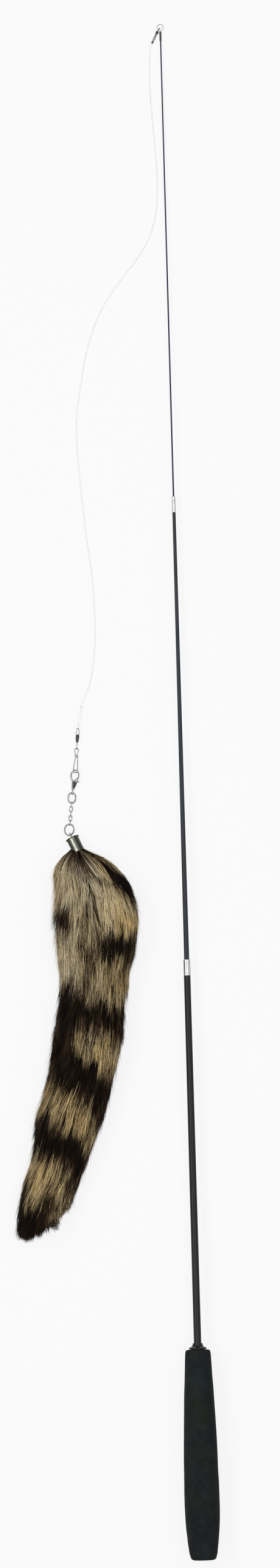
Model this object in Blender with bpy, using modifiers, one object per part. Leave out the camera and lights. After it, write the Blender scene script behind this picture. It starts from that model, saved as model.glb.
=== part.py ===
"""Telescopic cat teaser wand, lying extended on a flat surface.

A foam grip holds three telescoping sections. A clear line runs from a wire eye on the tip to a
swivel, a snap, a lobster clasp and a short chain, which carry a ringed fur tail in a metal cap.

The wand points along +Y, +Z is up and the surface is z = 0. The wand rests on the belly of its grip
and near its tip, so its axis slopes down a little. Wand pieces are drawn in a frame whose +Z runs
along that axis, and each piece of hardware in a frame whose +Z points up the line, with its origin on
the wire that the piece hangs from. In both kinds of frame -Y is up.
"""

import math

import bmesh
import bpy
from mathutils import Matrix, Vector

MM = 0.001

# Clearances
LINK_GAP = 0.20 * MM  # between two linked wires
SEAT_GAP = 0.30 * MM  # between pieces that are pushed or glued together
SLIDE_GAP = 0.07 * MM  # between a friction bush and the bore it slides in
NECK_GAP = 0.09 * MM  # between a section and the ferrule lip it runs through
FERRULE_GAP = 0.05 * MM  # between a ferrule and the tube end it is pressed on
STOP_GAP = 2.0 * MM  # left outside a ferrule when a section is pushed right in

# Grip, collar and plug
GRIP_LENGTH = 135.2 * MM
GRIP_TOP_RADIUS = 8.1 * MM
GRIP_BELLY_RADIUS = 11.33 * MM
GRIP_BELLY_STATION = 37.0 * MM  # from the butt
GRIP_BUTT_RADIUS = 8.4 * MM
GRIP_TOP_ROUND = 1.6 * MM
GRIP_BUTT_ROUND = 2.4 * MM
COLLAR_RADIUS = 5.65 * MM
COLLAR_RIM = 1.2 * MM
COLLAR_LENGTH = 3.9 * MM
PLUG_RADIUS = 4.6 * MM
PLUG_HEAD = 2.6 * MM
PLUG_STEM_RADIUS = 1.6 * MM
PLUG_STEM = 12.0 * MM

# Base section
BASE_SHOWN = 250.8 * MM  # from the grip to the top of its ferrule
BASE_FOOT_RADIUS = 2.60 * MM
BASE_TOP_RADIUS = 2.14 * MM
BASE_BORE_RADIUS = 1.87 * MM
BASE_SEAT_RADIUS = 2.02 * MM  # turned down under the ferrule
BASE_FERRULE_RADIUS = 2.28 * MM
BASE_FERRULE_LENGTH = 10.3 * MM
FERRULE_LIP = 1.0 * MM

# Middle section
MID_SHOWN = 297.8 * MM
MID_HIDDEN = 28.0 * MM  # inside the base tube when extended
MID_FOOT_RADIUS = 1.68 * MM
MID_TOP_RADIUS = 1.06 * MM
MID_BORE_RADIUS = 0.76 * MM
MID_SEAT_RADIUS = 0.93 * MM
MID_FERRULE_RADIUS = 1.18 * MM
MID_FERRULE_LENGTH = 10.2 * MM
MID_BUSH_SEAT_RADIUS = 1.42 * MM

# Tip section
TIP_SHOWN = 293.2 * MM  # from the middle ferrule to the foot of the tip sleeve
TIP_HIDDEN = 26.0 * MM
TIP_FOOT_RADIUS = 0.53 * MM
TIP_TOP_RADIUS = 0.44 * MM
TIP_BUSH_SEAT_RADIUS = 0.38 * MM

# Friction bushes
BUSH_LENGTH = 5.6 * MM
BUSH_FLANGE = 0.8 * MM

# Eye on the tip
TIP_SLEEVE_RADIUS = 0.68 * MM
TIP_SLEEVE_LENGTH = 6.0 * MM
TIP_SLEEVE_BORE = 0.54 * MM
TIP_ROD_IN_SLEEVE = 2.6 * MM
TIP_WIRE_RADIUS = 0.19 * MM
TIP_EYE_HALF_WIDTH = 1.95 * MM
TIP_EYE_HEIGHT = 4.7 * MM  # above the sleeve, to the wire's centre
TIP_AXIS_HEIGHT = 1.15 * MM  # of the wand's axis above the surface, at the eye

# Line and its loops
LINE_RADIUS = 0.40 * MM
STRAND_RADIUS = 0.29 * MM
HITCH_RADIUS = 0.95 * MM
HITCH_LENGTH = 1.9 * MM
CRIMP_RADIUS = 0.70 * MM
CRIMP_LENGTH = 2.2 * MM
CRIMP_BELOW_HITCH = 4.6 * MM
STRANDS_APART_BELOW_HITCH = 3.6 * MM  # where the two strands lie furthest apart
KNOT_RADIUS = 0.85 * MM
KNOT_LENGTH = 2.0 * MM
LOWER_LOOP_LENGTH = 13.0 * MM
LOWER_LOOP_SPREAD = 0.62 * MM  # of each strand from the loop's middle, where they lie side by side
LINE_POINTS = 80

# Swivel
HARDWARE_HEIGHT = 1.60 * MM  # of the hanging hardware's axis above the surface
SWIVEL_WIRE_RADIUS = 0.25 * MM
SWIVEL_TOP_EYE_HALF_WIDTH = 1.05 * MM
SWIVEL_TOP_EYE_LENGTH = 3.75 * MM
BARREL_LENGTH = 5.1 * MM
BARREL_RADIUS = 1.15 * MM
BARREL_FOOT_RADIUS = 0.62 * MM
BARREL_PLATE = 0.5 * MM
BARREL_BORE_RADIUS = 0.42 * MM
BARREL_CAVITY_RADIUS = 0.86 * MM
BARREL_CAVITY_LENGTH = 1.7 * MM
SWIVEL_HEAD_RADIUS = 0.62 * MM
SWIVEL_HEAD = 0.4 * MM
SWIVEL_LOWER_EYE_HALF_WIDTH = 1.15 * MM
SWIVEL_LOWER_EYE_LENGTH = 4.1 * MM

# Snap
SNAP_WIRE_RADIUS = 0.33 * MM
SNAP_LENGTH = 15.7 * MM  # between the centres of its end bows
SNAP_HEAD_HALF_WIDTH = 1.55 * MM
SNAP_NECK_HALF_WIDTH = 0.78 * MM
SNAP_FOOT_HALF_WIDTH = 1.95 * MM
SNAP_FOOT_HALF_HEIGHT = 1.0 * MM  # of the foot's flattened bow
SNAP_NECK_FROM_TOP = 5.3 * MM
SNAP_LAP = 0.8 * MM  # by which each end runs past the neck, beside the other
SNAP_ROLL = math.radians(42)  # about the line, so that it links with the flat clasp

# Clasp
CLASP_BAND = 1.0 * MM  # width of the hook seen from above
CLASP_HALF_WIDTH = 2.45 * MM
CLASP_HALF_HEIGHT = 3.57 * MM
CLASP_THICKNESS = 2.3 * MM
CLASP_CHAMFER = 0.25 * MM
HOOK_THICKNESS = 1.0 * MM  # at the top of the hook
HOOK_PLAY = 0.50 * MM  # the hook's corners need more room on the snap's wire than a round wire does
CLASP_TAIL_HALF_WIDTH = 0.85 * MM
CLASP_TAIL_STATION = 11.1 * MM  # below the snap's wire
CLASP_EYE_WIRE_RADIUS = 0.42 * MM
CLASP_EYE_HALF_WIDTH = 1.2 * MM
CLASP_EYE_LENGTH = 3.0 * MM
PIVOT_ACROSS = 1.57 * MM
PIVOT_BELOW_CENTRE = 2.68 * MM
BOSS_RADIUS = 1.05 * MM
GATE_THICKNESS = 1.8 * MM
TAB_THICKNESS = 0.7 * MM
SLOT_THICKNESS = 1.1 * MM
PIN_RADIUS = 0.28 * MM
PIN_HOLE_RADIUS = 0.42 * MM
SPRING_POCKET_RADIUS = 0.56 * MM
SPRING_COIL_RADIUS = 0.36 * MM
SPRING_WIRE_RADIUS = 0.10 * MM
SPRING_TURNS = 5
HOOK_END = (math.radians(72), math.radians(64))  # clockwise from its top, outside and inside
GATE_FROM = (math.radians(76), math.radians(69))
GATE_TO = math.radians(118)

# Jump rings and chain
RING_WIRE_RADIUS = 0.50 * MM
UPPER_RING_HALF_WIDTH = 2.4 * MM
UPPER_RING_LENGTH = 6.8 * MM
LOWER_RING_HALF_WIDTH = 2.95 * MM
LOWER_RING_LENGTH = 7.3 * MM
RING_SLIT = math.radians(3.5)
CHAIN_WIRE_RADIUS = 0.30 * MM
CHAIN_HALF_WIDTH = 0.90 * MM
CHAIN_LENGTH = 3.76 * MM
CHAIN_LINKS = 5

# Cap and its eye
CAP_EYE_WIRE_RADIUS = 0.40 * MM
CAP_EYE_HALF_WIDTH = 1.20 * MM
CAP_EYE_LENGTH = 3.0 * MM
CAP_EYE_HEAD_RADIUS = 0.95 * MM
CAP_HOLE_RADIUS = 0.62 * MM
CAP_RADIUS = 3.95 * MM
CAP_RIM_RADIUS = 4.60 * MM
CAP_RIM = 0.7 * MM
CAP_LENGTH = 9.2 * MM
CAP_WALL = 0.45 * MM
CAP_PLATE = 0.8 * MM

# Tail
TAIL_LENGTH = 252.0 * MM  # along Y, below the cap
TAIL_WIDTH = 54.4 * MM
TAIL_FLATNESS = 0.55  # height over width
TAIL_FLAT_DEPTH = 0.5 * MM  # pressed flat on the surface
FUR_OVERRUN = 3.0 * MM  # made past the cap, and cut off square there
CORE_RADIUS = 3.05 * MM
CORE_TIP_RADIUS = 1.2 * MM
CORE_SHARE = 0.78  # of the tail's path

# Headings of the hardware: degrees by which each piece turns to the left of the piece above it, seen
# from above, and degrees by which it tips up
LURE_HEADING = 5.4
LOWER_LOOP_TURN = 5.0  # of the line's lower loop, against the swivel
SNAP_TURN = -0.6
CLASP_TURN = 5.2
UPPER_RING_TURN = -5.0
CHAIN_TURN = 1.3
LOWER_RING_TURN = 2.3
CAP_TURN = -32.0
CHAIN_TIPS = (0.0, 0.0, 4.0, 0.0, 8.0)
CAP_TIP = 4.0

# Route of the line seen from above, in millimetres from the wand's tip: sideways, along the wand
LINE_ROUTE = (
    (-7.0, -18.0),
    (-7.8, -27.0),
    (-7.9, -40.0),
    (-7.1, -57.0),
    (-5.9, -74.0),
    (-5.0, -92.0),
    (-5.0, -107.0),
    (-6.2, -121.0),
    (-10.0, -135.0),
    (-17.0, -147.5),
    (-25.5, -158.5),
    (-36.8, -172.8),
    (-43.3, -183.3),
    (-49.2, -196.6),
    (-53.7, -211.0),
    (-58.3, -233.9),
    (-60.9, -251.0),
    (-61.1, -272.0),
    (-59.5, -298.0),
    (-56.6, -331.0),
    (-54.3, -349.5),
    (-53.2, -368.0),
    (-52.9, -389.0),
    (-53.6, -401.0),
    (-55.4, -414.5),
    (-58.6, -426.5),
)
LURE_START = (-65.7 * MM, -452.0 * MM)  # the swivel's top, from the wand's tip

# Tail outline seen from above: shares of the length, of the width by which it lies to one side, and
# of the width
TAIL_OUTLINE = (
    (0.031, 0.051, 0.585),
    (0.053, 0.085, 0.73),
    (0.084, 0.140, 0.85),
    (0.123, 0.184, 0.945),
    (0.187, 0.197, 1.00),
    (0.250, 0.182, 0.935),
    (0.314, 0.151, 0.825),
    (0.407, 0.101, 0.815),
    (0.500, 0.035, 0.83),
    (0.593, -0.057, 0.785),
    (0.685, -0.190, 0.79),
    (0.778, -0.300, 0.66),
    (0.870, -0.465, 0.625),
    (0.932, -0.570, 0.535),
    (0.962, -0.620, 0.385),
    (1.000, -0.700, 0.105),
)
TAIL_ROOT_SHARE = 0.31  # of the width, at the cap

# Stations along the wand, from the butt
BASE_TOP = GRIP_LENGTH + BASE_SHOWN
MID_TOP = BASE_TOP + MID_SHOWN
SLEEVE_FOOT = MID_TOP + TIP_SHOWN
SLEEVE_TOP = SLEEVE_FOOT + TIP_SLEEVE_LENGTH
EYE_TOP = SLEEVE_TOP + TIP_EYE_HEIGHT
TIP = EYE_TOP + TIP_WIRE_RADIUS

# Slope of the wand, which rests on the grip's belly and stands a little above the surface at its eye
SLOPE = math.atan((GRIP_BELLY_RADIUS - TIP_AXIS_HEIGHT) / (EYE_TOP - GRIP_BELLY_STATION))
BUTT_HEIGHT = GRIP_BELLY_RADIUS * math.cos(SLOPE) + GRIP_BELLY_STATION * math.sin(SLOPE)

FLAT = 0.0
ON_EDGE = math.radians(90)

COLOURS = {
    "foam": ((0.014, 0.016, 0.016), 0.85, 0.0),
    "rubber": ((0.02, 0.02, 0.02), 0.7, 0.0),
    "gloss_black": ((0.006, 0.006, 0.007), 0.2, 0.0),
    "slate_coat": ((0.02, 0.025, 0.03), 0.25, 0.0),
    "navy_coat": ((0.03, 0.03, 0.05), 0.3, 0.0),
    "bare_steel": ((0.62, 0.62, 0.63), 0.25, 1.0),
    "brass": ((0.72, 0.52, 0.2), 0.35, 1.0),
    "nickel": ((0.55, 0.56, 0.57), 0.22, 1.0),
    "dark_steel": ((0.18, 0.19, 0.19), 0.3, 1.0),
    "gunmetal": ((0.2, 0.21, 0.17), 0.35, 1.0),
    "clear_line": ((0.75, 0.78, 0.8), 0.15, 0.0),
    "dark_sleeve": ((0.03, 0.025, 0.03), 0.5, 0.0),
    "hide": ((0.45, 0.33, 0.22), 0.8, 0.0),
    "fur": ((0.22, 0.16, 0.1), 0.9, 0.0),
}


def clear_scene():
    for item in list(bpy.data.objects):
        bpy.data.objects.remove(item, do_unlink=True)


def new_collection(name):
    group = bpy.data.collections.new(name)
    bpy.context.scene.collection.children.link(group)
    return group


def material(name):
    found = bpy.data.materials.get(name)
    if found:
        return found
    colour, roughness, metallic = COLOURS[name]
    made = bpy.data.materials.new(name)
    made.use_nodes = True
    surface = made.node_tree.nodes["Principled BSDF"]
    surface.inputs["Base Color"].default_value = (*colour, 1)
    surface.inputs["Roughness"].default_value = roughness
    surface.inputs["Metallic"].default_value = metallic
    return made


def frame(name, parent, at=(0, 0, 0), turn=(0, 0, 0)):
    """An empty that carries a body. turn is in radians about X, Y and Z."""
    empty = bpy.data.objects.new(name, None)
    empty.empty_display_size = 3 * MM
    PIECES.objects.link(empty)
    empty.parent = parent
    empty.location = at
    empty.rotation_euler = turn
    return empty


def add(name, data, finish, parent):
    data.materials.append(material(finish))
    item = bpy.data.objects.new(name, data)
    PIECES.objects.link(item)
    item.parent = parent
    return item


def as_cutter(item):
    PIECES.objects.unlink(item)
    CUTTERS.objects.link(item)
    item.hide_render = True
    item.display_type = "WIRE"
    return item


def turned(name, profile, finish, parent, sides=16):
    """A shape turned about Z. The profile is (radius, z) down its outer side and, where it is hollow,
    up its bore; one that starts and ends at radius 0 is solid."""
    solid = profile[0][0] == 0 and profile[-1][0] == 0
    shape = bmesh.new()
    points = [shape.verts.new((radius, 0, z)) for radius, z in profile]
    for first, second in zip(points, points[1:]):
        shape.edges.new((first, second))
    if not solid:
        shape.edges.new((points[-1], points[0]))
    mesh = bpy.data.meshes.new(name)
    shape.to_mesh(mesh)
    shape.free()
    item = add(name, mesh, finish, parent)
    screw = item.modifiers.new("Turn", "SCREW")
    screw.axis = "Z"
    screw.steps = sides
    screw.render_steps = sides
    screw.use_merge_vertices = True
    screw.merge_threshold = 0.000001
    screw.use_smooth_shade = True
    return item


def wire(name, points, radius, finish, parent, closed=False, resolution=2, swell=None):
    """A round wire along the points. swell is a radius share for each point."""
    curve = bpy.data.curves.new(name, "CURVE")
    curve.dimensions = "3D"
    curve.bevel_depth = radius
    curve.bevel_resolution = resolution
    curve.use_fill_caps = True
    spline = curve.splines.new("POLY")
    spline.points.add(len(points) - 1)
    spline.use_cyclic_u = closed
    for number, point in enumerate(points):
        spline.points[number].co = (*point, 1)
        spline.points[number].radius = swell[number] if swell else 1.0
    return add(name, curve, finish, parent)


def plate(name, outline, thickness, finish, parent, chamfer=0.0):
    """A flat plate in the XZ plane, as thick along Y, with chamfered edges."""
    curve = bpy.data.curves.new(name, "CURVE")
    curve.dimensions = "2D"
    curve.fill_mode = "BOTH"
    curve.extrude = thickness / 2 - chamfer
    curve.bevel_depth = chamfer
    curve.bevel_resolution = 0
    curve.offset = -chamfer
    spline = curve.splines.new("POLY")
    spline.points.add(len(outline) - 1)
    spline.use_cyclic_u = True
    for number, (across, along) in enumerate(outline):
        spline.points[number].co = (across, along, 0, 1)
    item = add(name, curve, finish, parent)
    item.rotation_euler = (math.radians(90), 0, 0)
    return item


def as_mesh(item):
    """The same object as a welded mesh, drawn in its parent's frame."""
    bpy.context.view_layer.update()
    evaluated = item.evaluated_get(bpy.context.evaluated_depsgraph_get())
    mesh = bpy.data.meshes.new_from_object(evaluated)
    mesh.transform(item.matrix_local)
    name, parent, group = item.name, item.parent, item.users_collection[0]
    bpy.data.objects.remove(item, do_unlink=True)
    made = bpy.data.objects.new(name, mesh)
    group.objects.link(made)
    made.parent = parent
    shape = bmesh.new()
    shape.from_mesh(mesh)
    bmesh.ops.remove_doubles(shape, verts=shape.verts, dist=0.000001)
    bmesh.ops.recalc_face_normals(shape, faces=shape.faces)
    shape.to_mesh(mesh)
    shape.free()
    return made


def combine(item, other, operation):
    """Adds other to item or cuts it away, and leaves other among the cutters."""
    if other.name not in CUTTERS.objects:
        as_cutter(other)
    step = item.modifiers.new(operation.title(), "BOOLEAN")
    step.operation = operation
    step.solver = "EXACT"
    step.object = other


def arc(half_width, half_height, start, end, steps, centre=(0.0, 0.0)):
    """Points (across, along) of an elliptical arc. Angles run clockwise from its top."""
    points = []
    for number in range(steps + 1):
        angle = start + (end - start) * number / steps
        across = centre[0] + half_width * math.sin(angle)
        along = centre[1] + half_height * math.cos(angle)
        points.append((across, along))
    return points


def stadium(half_width, top, bottom, steps=8):
    """Points (across, along) of a loop with round ends and straight sides."""
    upper = arc(half_width, half_width, math.radians(-90), math.radians(90), steps,
                (0.0, top - half_width))
    lower = arc(half_width, half_width, math.radians(90), math.radians(270), steps,
                (0.0, bottom + half_width))
    return upper + lower


def rolled(points, roll):
    """Points (across, along, aside) set in space, turned about Z by roll: 0 lies flat, 90 degrees on
    edge. A point may leave out how far aside of its plane it lies."""
    turn = Matrix.Rotation(roll, 3, "Z")
    return [turn @ Vector((point[0], point[2] if len(point) > 2 else 0.0, point[1]))
            for point in points]


def thinned(item, start, end, share):
    """Thins a plate from its full thickness at height start to a share of it at height end."""
    for vertex in item.data.vertices:
        step = max(0.0, min(1.0, (vertex.co.z - start) / (end - start)))
        vertex.co.y *= 1.0 - (1.0 - share) * step * step * (3.0 - 2.0 * step)


def smooth(points, count):
    """count points, evenly spaced, on a smooth curve through the given points."""
    ends = [points[0] * 2 - points[1], *points, points[-1] * 2 - points[-2]]
    fine = []
    for a, b, c, d in zip(ends, ends[1:], ends[2:], ends[3:]):
        for number in range(24):
            t = number / 24
            fine.append(0.5 * (2 * b + (c - a) * t + (2 * a - 5 * b + 4 * c - d) * t * t
                               + (3 * b - a - 3 * c + d) * t ** 3))
    fine.append(points[-1])
    lengths = [0.0]
    for first, second in zip(fine, fine[1:]):
        lengths.append(lengths[-1] + (second - first).length)
    even, number = [], 0
    for step in range(count):
        wanted = lengths[-1] * step / (count - 1)
        while number < len(fine) - 2 and lengths[number + 1] < wanted:
            number += 1
        share = (wanted - lengths[number]) / (lengths[number + 1] - lengths[number])
        even.append(fine[number].lerp(fine[number + 1], min(1.0, share)))
    return even


def bow_offset(upper_radius, lower_radius):
    """From the centre of a wire to the centre of the wire that hangs in it."""
    return upper_radius + lower_radius + LINK_GAP


def grip_radius(station):
    """Radius of the foam before its ends are rounded."""
    if station >= GRIP_BELLY_STATION:
        share = (station - GRIP_BELLY_STATION) / (GRIP_LENGTH - GRIP_BELLY_STATION)
        return GRIP_BELLY_RADIUS - (GRIP_BELLY_RADIUS - GRIP_TOP_RADIUS) * share ** 1.75
    share = (GRIP_BELLY_STATION - station) / GRIP_BELLY_STATION
    return GRIP_BELLY_RADIUS - (GRIP_BELLY_RADIUS - GRIP_BUTT_RADIUS) * share ** 2


def grip(wand):
    top_round = arc(GRIP_TOP_ROUND, GRIP_TOP_ROUND, 0, math.radians(80), 3,
                    (GRIP_TOP_RADIUS - GRIP_TOP_ROUND, GRIP_LENGTH - GRIP_TOP_ROUND))
    butt_round = arc(GRIP_BUTT_ROUND, GRIP_BUTT_ROUND, math.radians(105), math.radians(180), 3,
                     (GRIP_BUTT_RADIUS - GRIP_BUTT_ROUND, GRIP_BUTT_ROUND))
    high = GRIP_LENGTH - 3 * GRIP_TOP_ROUND
    low = 3 * GRIP_BUTT_ROUND
    side = []
    for number in range(6):
        station = high + (GRIP_BELLY_STATION - high) * number / 6
        side.append((grip_radius(station), station))
    for number in range(4):
        station = GRIP_BELLY_STATION + (low - GRIP_BELLY_STATION) * number / 3
        side.append((grip_radius(station), station))
    bore = BASE_FOOT_RADIUS + SEAT_GAP
    seat = PLUG_RADIUS + SEAT_GAP
    hollow = [(seat, 0), (seat, PLUG_HEAD + SEAT_GAP), (bore, PLUG_HEAD + SEAT_GAP), (bore, GRIP_LENGTH)]
    turned("foam_grip", top_round + side + butt_round + hollow, "foam", wand, 32)


def collar(wand):
    foot = GRIP_LENGTH + SEAT_GAP
    bore = BASE_FOOT_RADIUS + SEAT_GAP / 2
    neck = bore + 0.45 * MM
    fillet = arc(COLLAR_RADIUS - neck - 0.5 * MM, COLLAR_LENGTH - COLLAR_RIM - 0.2 * MM,
                 math.radians(270), math.radians(180), 3,
                 (COLLAR_RADIUS - 0.5 * MM, foot + COLLAR_LENGTH))
    profile = fillet + [(COLLAR_RADIUS, foot + COLLAR_RIM), (COLLAR_RADIUS, foot + 0.2 * MM),
                        (COLLAR_RADIUS - 0.2 * MM, foot), (bore, foot), (bore, foot + COLLAR_LENGTH)]
    turned("grip_collar", profile, "gloss_black", wand, 28)


def plug(wand):
    profile = [(0, PLUG_HEAD + PLUG_STEM), (PLUG_STEM_RADIUS, PLUG_HEAD + PLUG_STEM),
               (PLUG_STEM_RADIUS, PLUG_HEAD), (PLUG_RADIUS, PLUG_HEAD), (PLUG_RADIUS, 0), (0, 0)]
    turned("butt_plug", profile, "rubber", wand, 24)


def tube(name, finish, parent, foot, top, radii, seat, bore, end_seat=None):
    """A tapering tube. seat is (radius, length) turned down for a ferrule, end_seat for a bush."""
    foot_radius, top_radius = radii
    profile = [(seat[0], top), (seat[0], top - seat[1]), (top_radius, top - seat[1])]
    if end_seat:
        low = foot + BUSH_FLANGE
        high = low + BUSH_LENGTH + SEAT_GAP
        profile += [(foot_radius, high + MID_HIDDEN - BUSH_LENGTH), (foot_radius, high),
                    (end_seat, high), (end_seat, low), (foot_radius, low)]
    profile += [(foot_radius, foot), (bore, foot), (bore, top)]
    turned(name, profile, finish, parent, 20)


def ferrule(name, parent, top, length, radius, seat_radius, lip_radius):
    bore = seat_radius + FERRULE_GAP
    edge = 0.15 * MM
    profile = [(radius - edge, top), (radius, top - edge), (radius, top - length + edge),
               (radius - edge, top - length), (bore, top - length), (bore, top - FERRULE_LIP),
               (lip_radius, top - FERRULE_LIP), (lip_radius, top)]
    turned(name, profile, "bare_steel", parent, 20)


def bush(name, parent, foot, outer, seat_radius):
    bore = seat_radius + FERRULE_GAP
    low = foot + BUSH_FLANGE + SEAT_GAP / 2
    edge = 0.3 * MM
    profile = [(outer - NECK_GAP, low + BUSH_LENGTH), (outer, low + BUSH_LENGTH - edge),
               (outer, low + edge), (outer - NECK_GAP, low), (bore, low), (bore, low + BUSH_LENGTH)]
    turned(name, profile, "brass", parent, 20)


def base_section(wand):
    foot = PLUG_HEAD + 2 * SEAT_GAP
    seat = (BASE_SEAT_RADIUS, BASE_FERRULE_LENGTH - FERRULE_LIP - FERRULE_GAP)
    tube("base_tube", "gloss_black", wand, foot, BASE_TOP - FERRULE_LIP - FERRULE_GAP,
         (BASE_FOOT_RADIUS, BASE_TOP_RADIUS), seat, BASE_BORE_RADIUS)
    ferrule("base_ferrule", wand, BASE_TOP, BASE_FERRULE_LENGTH - FERRULE_GAP, BASE_FERRULE_RADIUS,
            BASE_SEAT_RADIUS, MID_FOOT_RADIUS + NECK_GAP)


def mid_section(wand):
    mid = frame("mid_slide", wand, (0, 0, BASE_TOP))
    seat = (MID_SEAT_RADIUS, MID_FERRULE_LENGTH - FERRULE_LIP - FERRULE_GAP)
    tube("mid_tube", "slate_coat", mid, -MID_HIDDEN, MID_SHOWN - FERRULE_LIP - FERRULE_GAP,
         (MID_FOOT_RADIUS, MID_TOP_RADIUS), seat, MID_BORE_RADIUS, MID_BUSH_SEAT_RADIUS)
    bush("mid_bush", mid, -MID_HIDDEN, BASE_BORE_RADIUS - SLIDE_GAP, MID_BUSH_SEAT_RADIUS)
    ferrule("mid_ferrule", mid, MID_SHOWN, MID_FERRULE_LENGTH - FERRULE_GAP, MID_FERRULE_RADIUS,
            MID_SEAT_RADIUS, TIP_FOOT_RADIUS + NECK_GAP)
    return mid


def tip_section(mid):
    tip = frame("tip_slide", mid, (0, 0, MID_SHOWN))
    foot = -TIP_HIDDEN
    low = foot + BUSH_FLANGE
    high = low + BUSH_LENGTH + SEAT_GAP
    rod_top = TIP_SHOWN + TIP_ROD_IN_SLEEVE
    profile = [(0, rod_top), (TIP_TOP_RADIUS, rod_top), (TIP_FOOT_RADIUS, 0), (TIP_FOOT_RADIUS, high),
               (TIP_BUSH_SEAT_RADIUS, high), (TIP_BUSH_SEAT_RADIUS, low), (TIP_FOOT_RADIUS, low),
               (TIP_FOOT_RADIUS, foot), (0, foot)]
    turned("tip_rod", profile, "navy_coat", tip, 12)
    bush("tip_bush", tip, foot, MID_BORE_RADIUS - SLIDE_GAP, TIP_BUSH_SEAT_RADIUS)
    sleeve_top = TIP_SHOWN + TIP_SLEEVE_LENGTH
    sleeve = [(TIP_SLEEVE_RADIUS, sleeve_top), (TIP_SLEEVE_RADIUS, TIP_SHOWN),
              (TIP_SLEEVE_BORE, TIP_SHOWN), (TIP_SLEEVE_BORE, sleeve_top)]
    turned("tip_sleeve", sleeve, "dark_steel", tip, 16)
    tip_eye(tip, sleeve_top)
    return tip


def tip_eye(tip, sleeve_top):
    """A teardrop of wire whose two ends run down into the sleeve."""
    leg = TIP_SLEEVE_BORE - TIP_WIRE_RADIUS - 2 * FERRULE_GAP
    low = TIP_SHOWN + TIP_ROD_IN_SLEEVE + SEAT_GAP
    bow = sleeve_top + TIP_EYE_HEIGHT - TIP_EYE_HALF_WIDTH
    right = [(leg, low), (leg, sleeve_top + 0.1 * MM), (leg + 0.35 * MM, sleeve_top + 0.75 * MM),
             (TIP_EYE_HALF_WIDTH * 0.82, bow - 1.15 * MM)]
    round_top = arc(TIP_EYE_HALF_WIDTH, TIP_EYE_HALF_WIDTH, math.radians(100), math.radians(-100), 12,
                    (0, bow))
    left = [(-across, along) for across, along in reversed(right)]
    wire("tip_eye", rolled(right + round_top + left, FLAT), TIP_WIRE_RADIUS, "nickel", tip)


def line_top(tip, floor):
    """The loop through the eye, its sleeve and the crimp. Gives the point and direction where the line
    leaves the crimp."""
    eye = TIP_SHOWN + TIP_SLEEVE_LENGTH
    lift = STRAND_RADIUS + TIP_WIRE_RADIUS + LINK_GAP
    hitch = Vector((-2.15 * MM, 0, eye - 0.6 * MM))
    towards = Vector((-3.0, 0, -5.9)).normalized()
    side = towards.cross(Vector((0, 1, 0)))
    half = STRAND_RADIUS + LINK_GAP / 3
    crimp = hitch + towards * (HITCH_LENGTH / 2 + CRIMP_BELOW_HITCH)
    fall = Vector((0, 0.35 * MM, 0))
    apart = 0.45 * MM
    upper = [crimp - towards * SEAT_GAP + side * half + fall,
             hitch + towards * STRANDS_APART_BELOW_HITCH + side * apart + fall * 0.6,
             hitch + towards * 1.6 * MM + side * half * 0.6 - Vector((0, half, 0)) * 0.8,
             hitch - Vector((0, half, 0)),
             hitch - towards * 1.3 * MM - Vector((0, half * 1.25, 0)),
             Vector((-1.15 * MM, -lift, eye + 1.4 * MM))]
    bend = [Vector((-0.45 * MM, -lift * 0.6, eye + 2.0 * MM)),
            Vector((-0.22 * MM, 0, eye + 2.2 * MM)),
            Vector((-0.45 * MM, lift * 0.6, eye + 2.0 * MM))]
    lower = [Vector((-1.15 * MM, lift, eye + 1.4 * MM)),
             hitch - towards * 1.3 * MM + Vector((0, half * 1.25, 0)),
             hitch + Vector((0, half, 0)),
             hitch + towards * 1.6 * MM - side * half * 0.6 + Vector((0, half, 0)) * 0.8,
             hitch + towards * STRANDS_APART_BELOW_HITCH - side * apart + fall * 0.6,
             crimp - towards * SEAT_GAP - side * half + fall]
    wire("line_loop", smooth(upper + bend + lower, 34), STRAND_RADIUS, "clear_line", tip)
    turn = Vector((0, 0, 1)).rotation_difference(-towards).to_euler()
    sleeve = frame("hitch", tip, hitch, turn)
    bore = 2 * half + LINK_GAP / 2
    turned("hitch_sleeve", [(HITCH_RADIUS, HITCH_LENGTH / 2), (HITCH_RADIUS, -HITCH_LENGTH / 2),
                            (bore, -HITCH_LENGTH / 2), (bore, HITCH_LENGTH / 2)],
           "dark_sleeve", sleeve, 12)
    holder = frame("crimp", tip, crimp + fall, turn)
    edge = 0.15 * MM
    turned("loop_crimp", [(0, 0), (CRIMP_RADIUS - edge, 0), (CRIMP_RADIUS, -edge),
                          (CRIMP_RADIUS, edge - CRIMP_LENGTH), (CRIMP_RADIUS - edge, -CRIMP_LENGTH),
                          (0, -CRIMP_LENGTH)], "clear_line", holder, 12)
    bpy.context.view_layer.update()
    into_floor = floor.matrix_world.inverted() @ holder.matrix_world
    start = into_floor @ Vector((0, 0, -CRIMP_LENGTH - SEAT_GAP))
    after = into_floor @ Vector((0, 0, -CRIMP_LENGTH - 2.5 * MM))
    return start, after


def line(floor, loop, start, after):
    """The free line, which lies on the surface and rises to the height of its lower loop at that end."""
    low = LINE_RADIUS * 1.05
    into_floor = floor.matrix_world.inverted() @ loop.matrix_world
    end = into_floor @ Vector((0, 0, LOWER_LOOP_LENGTH + KNOT_LENGTH + 2 * SEAT_GAP))
    before = into_floor @ Vector((0, 0, LOWER_LOOP_LENGTH + KNOT_LENGTH + 3.0 * MM))
    before.z = end.z - 0.15 * MM
    route = [start, after]
    for across, along in LINE_ROUTE:
        route.append(Vector((across * MM, along * MM, low)))
    route += [before, end]
    points = smooth(route, LINE_POINTS)
    for point in points:
        point.z = max(point.z, low)
    wire("line", points, LINE_RADIUS, "clear_line", floor)


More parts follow.
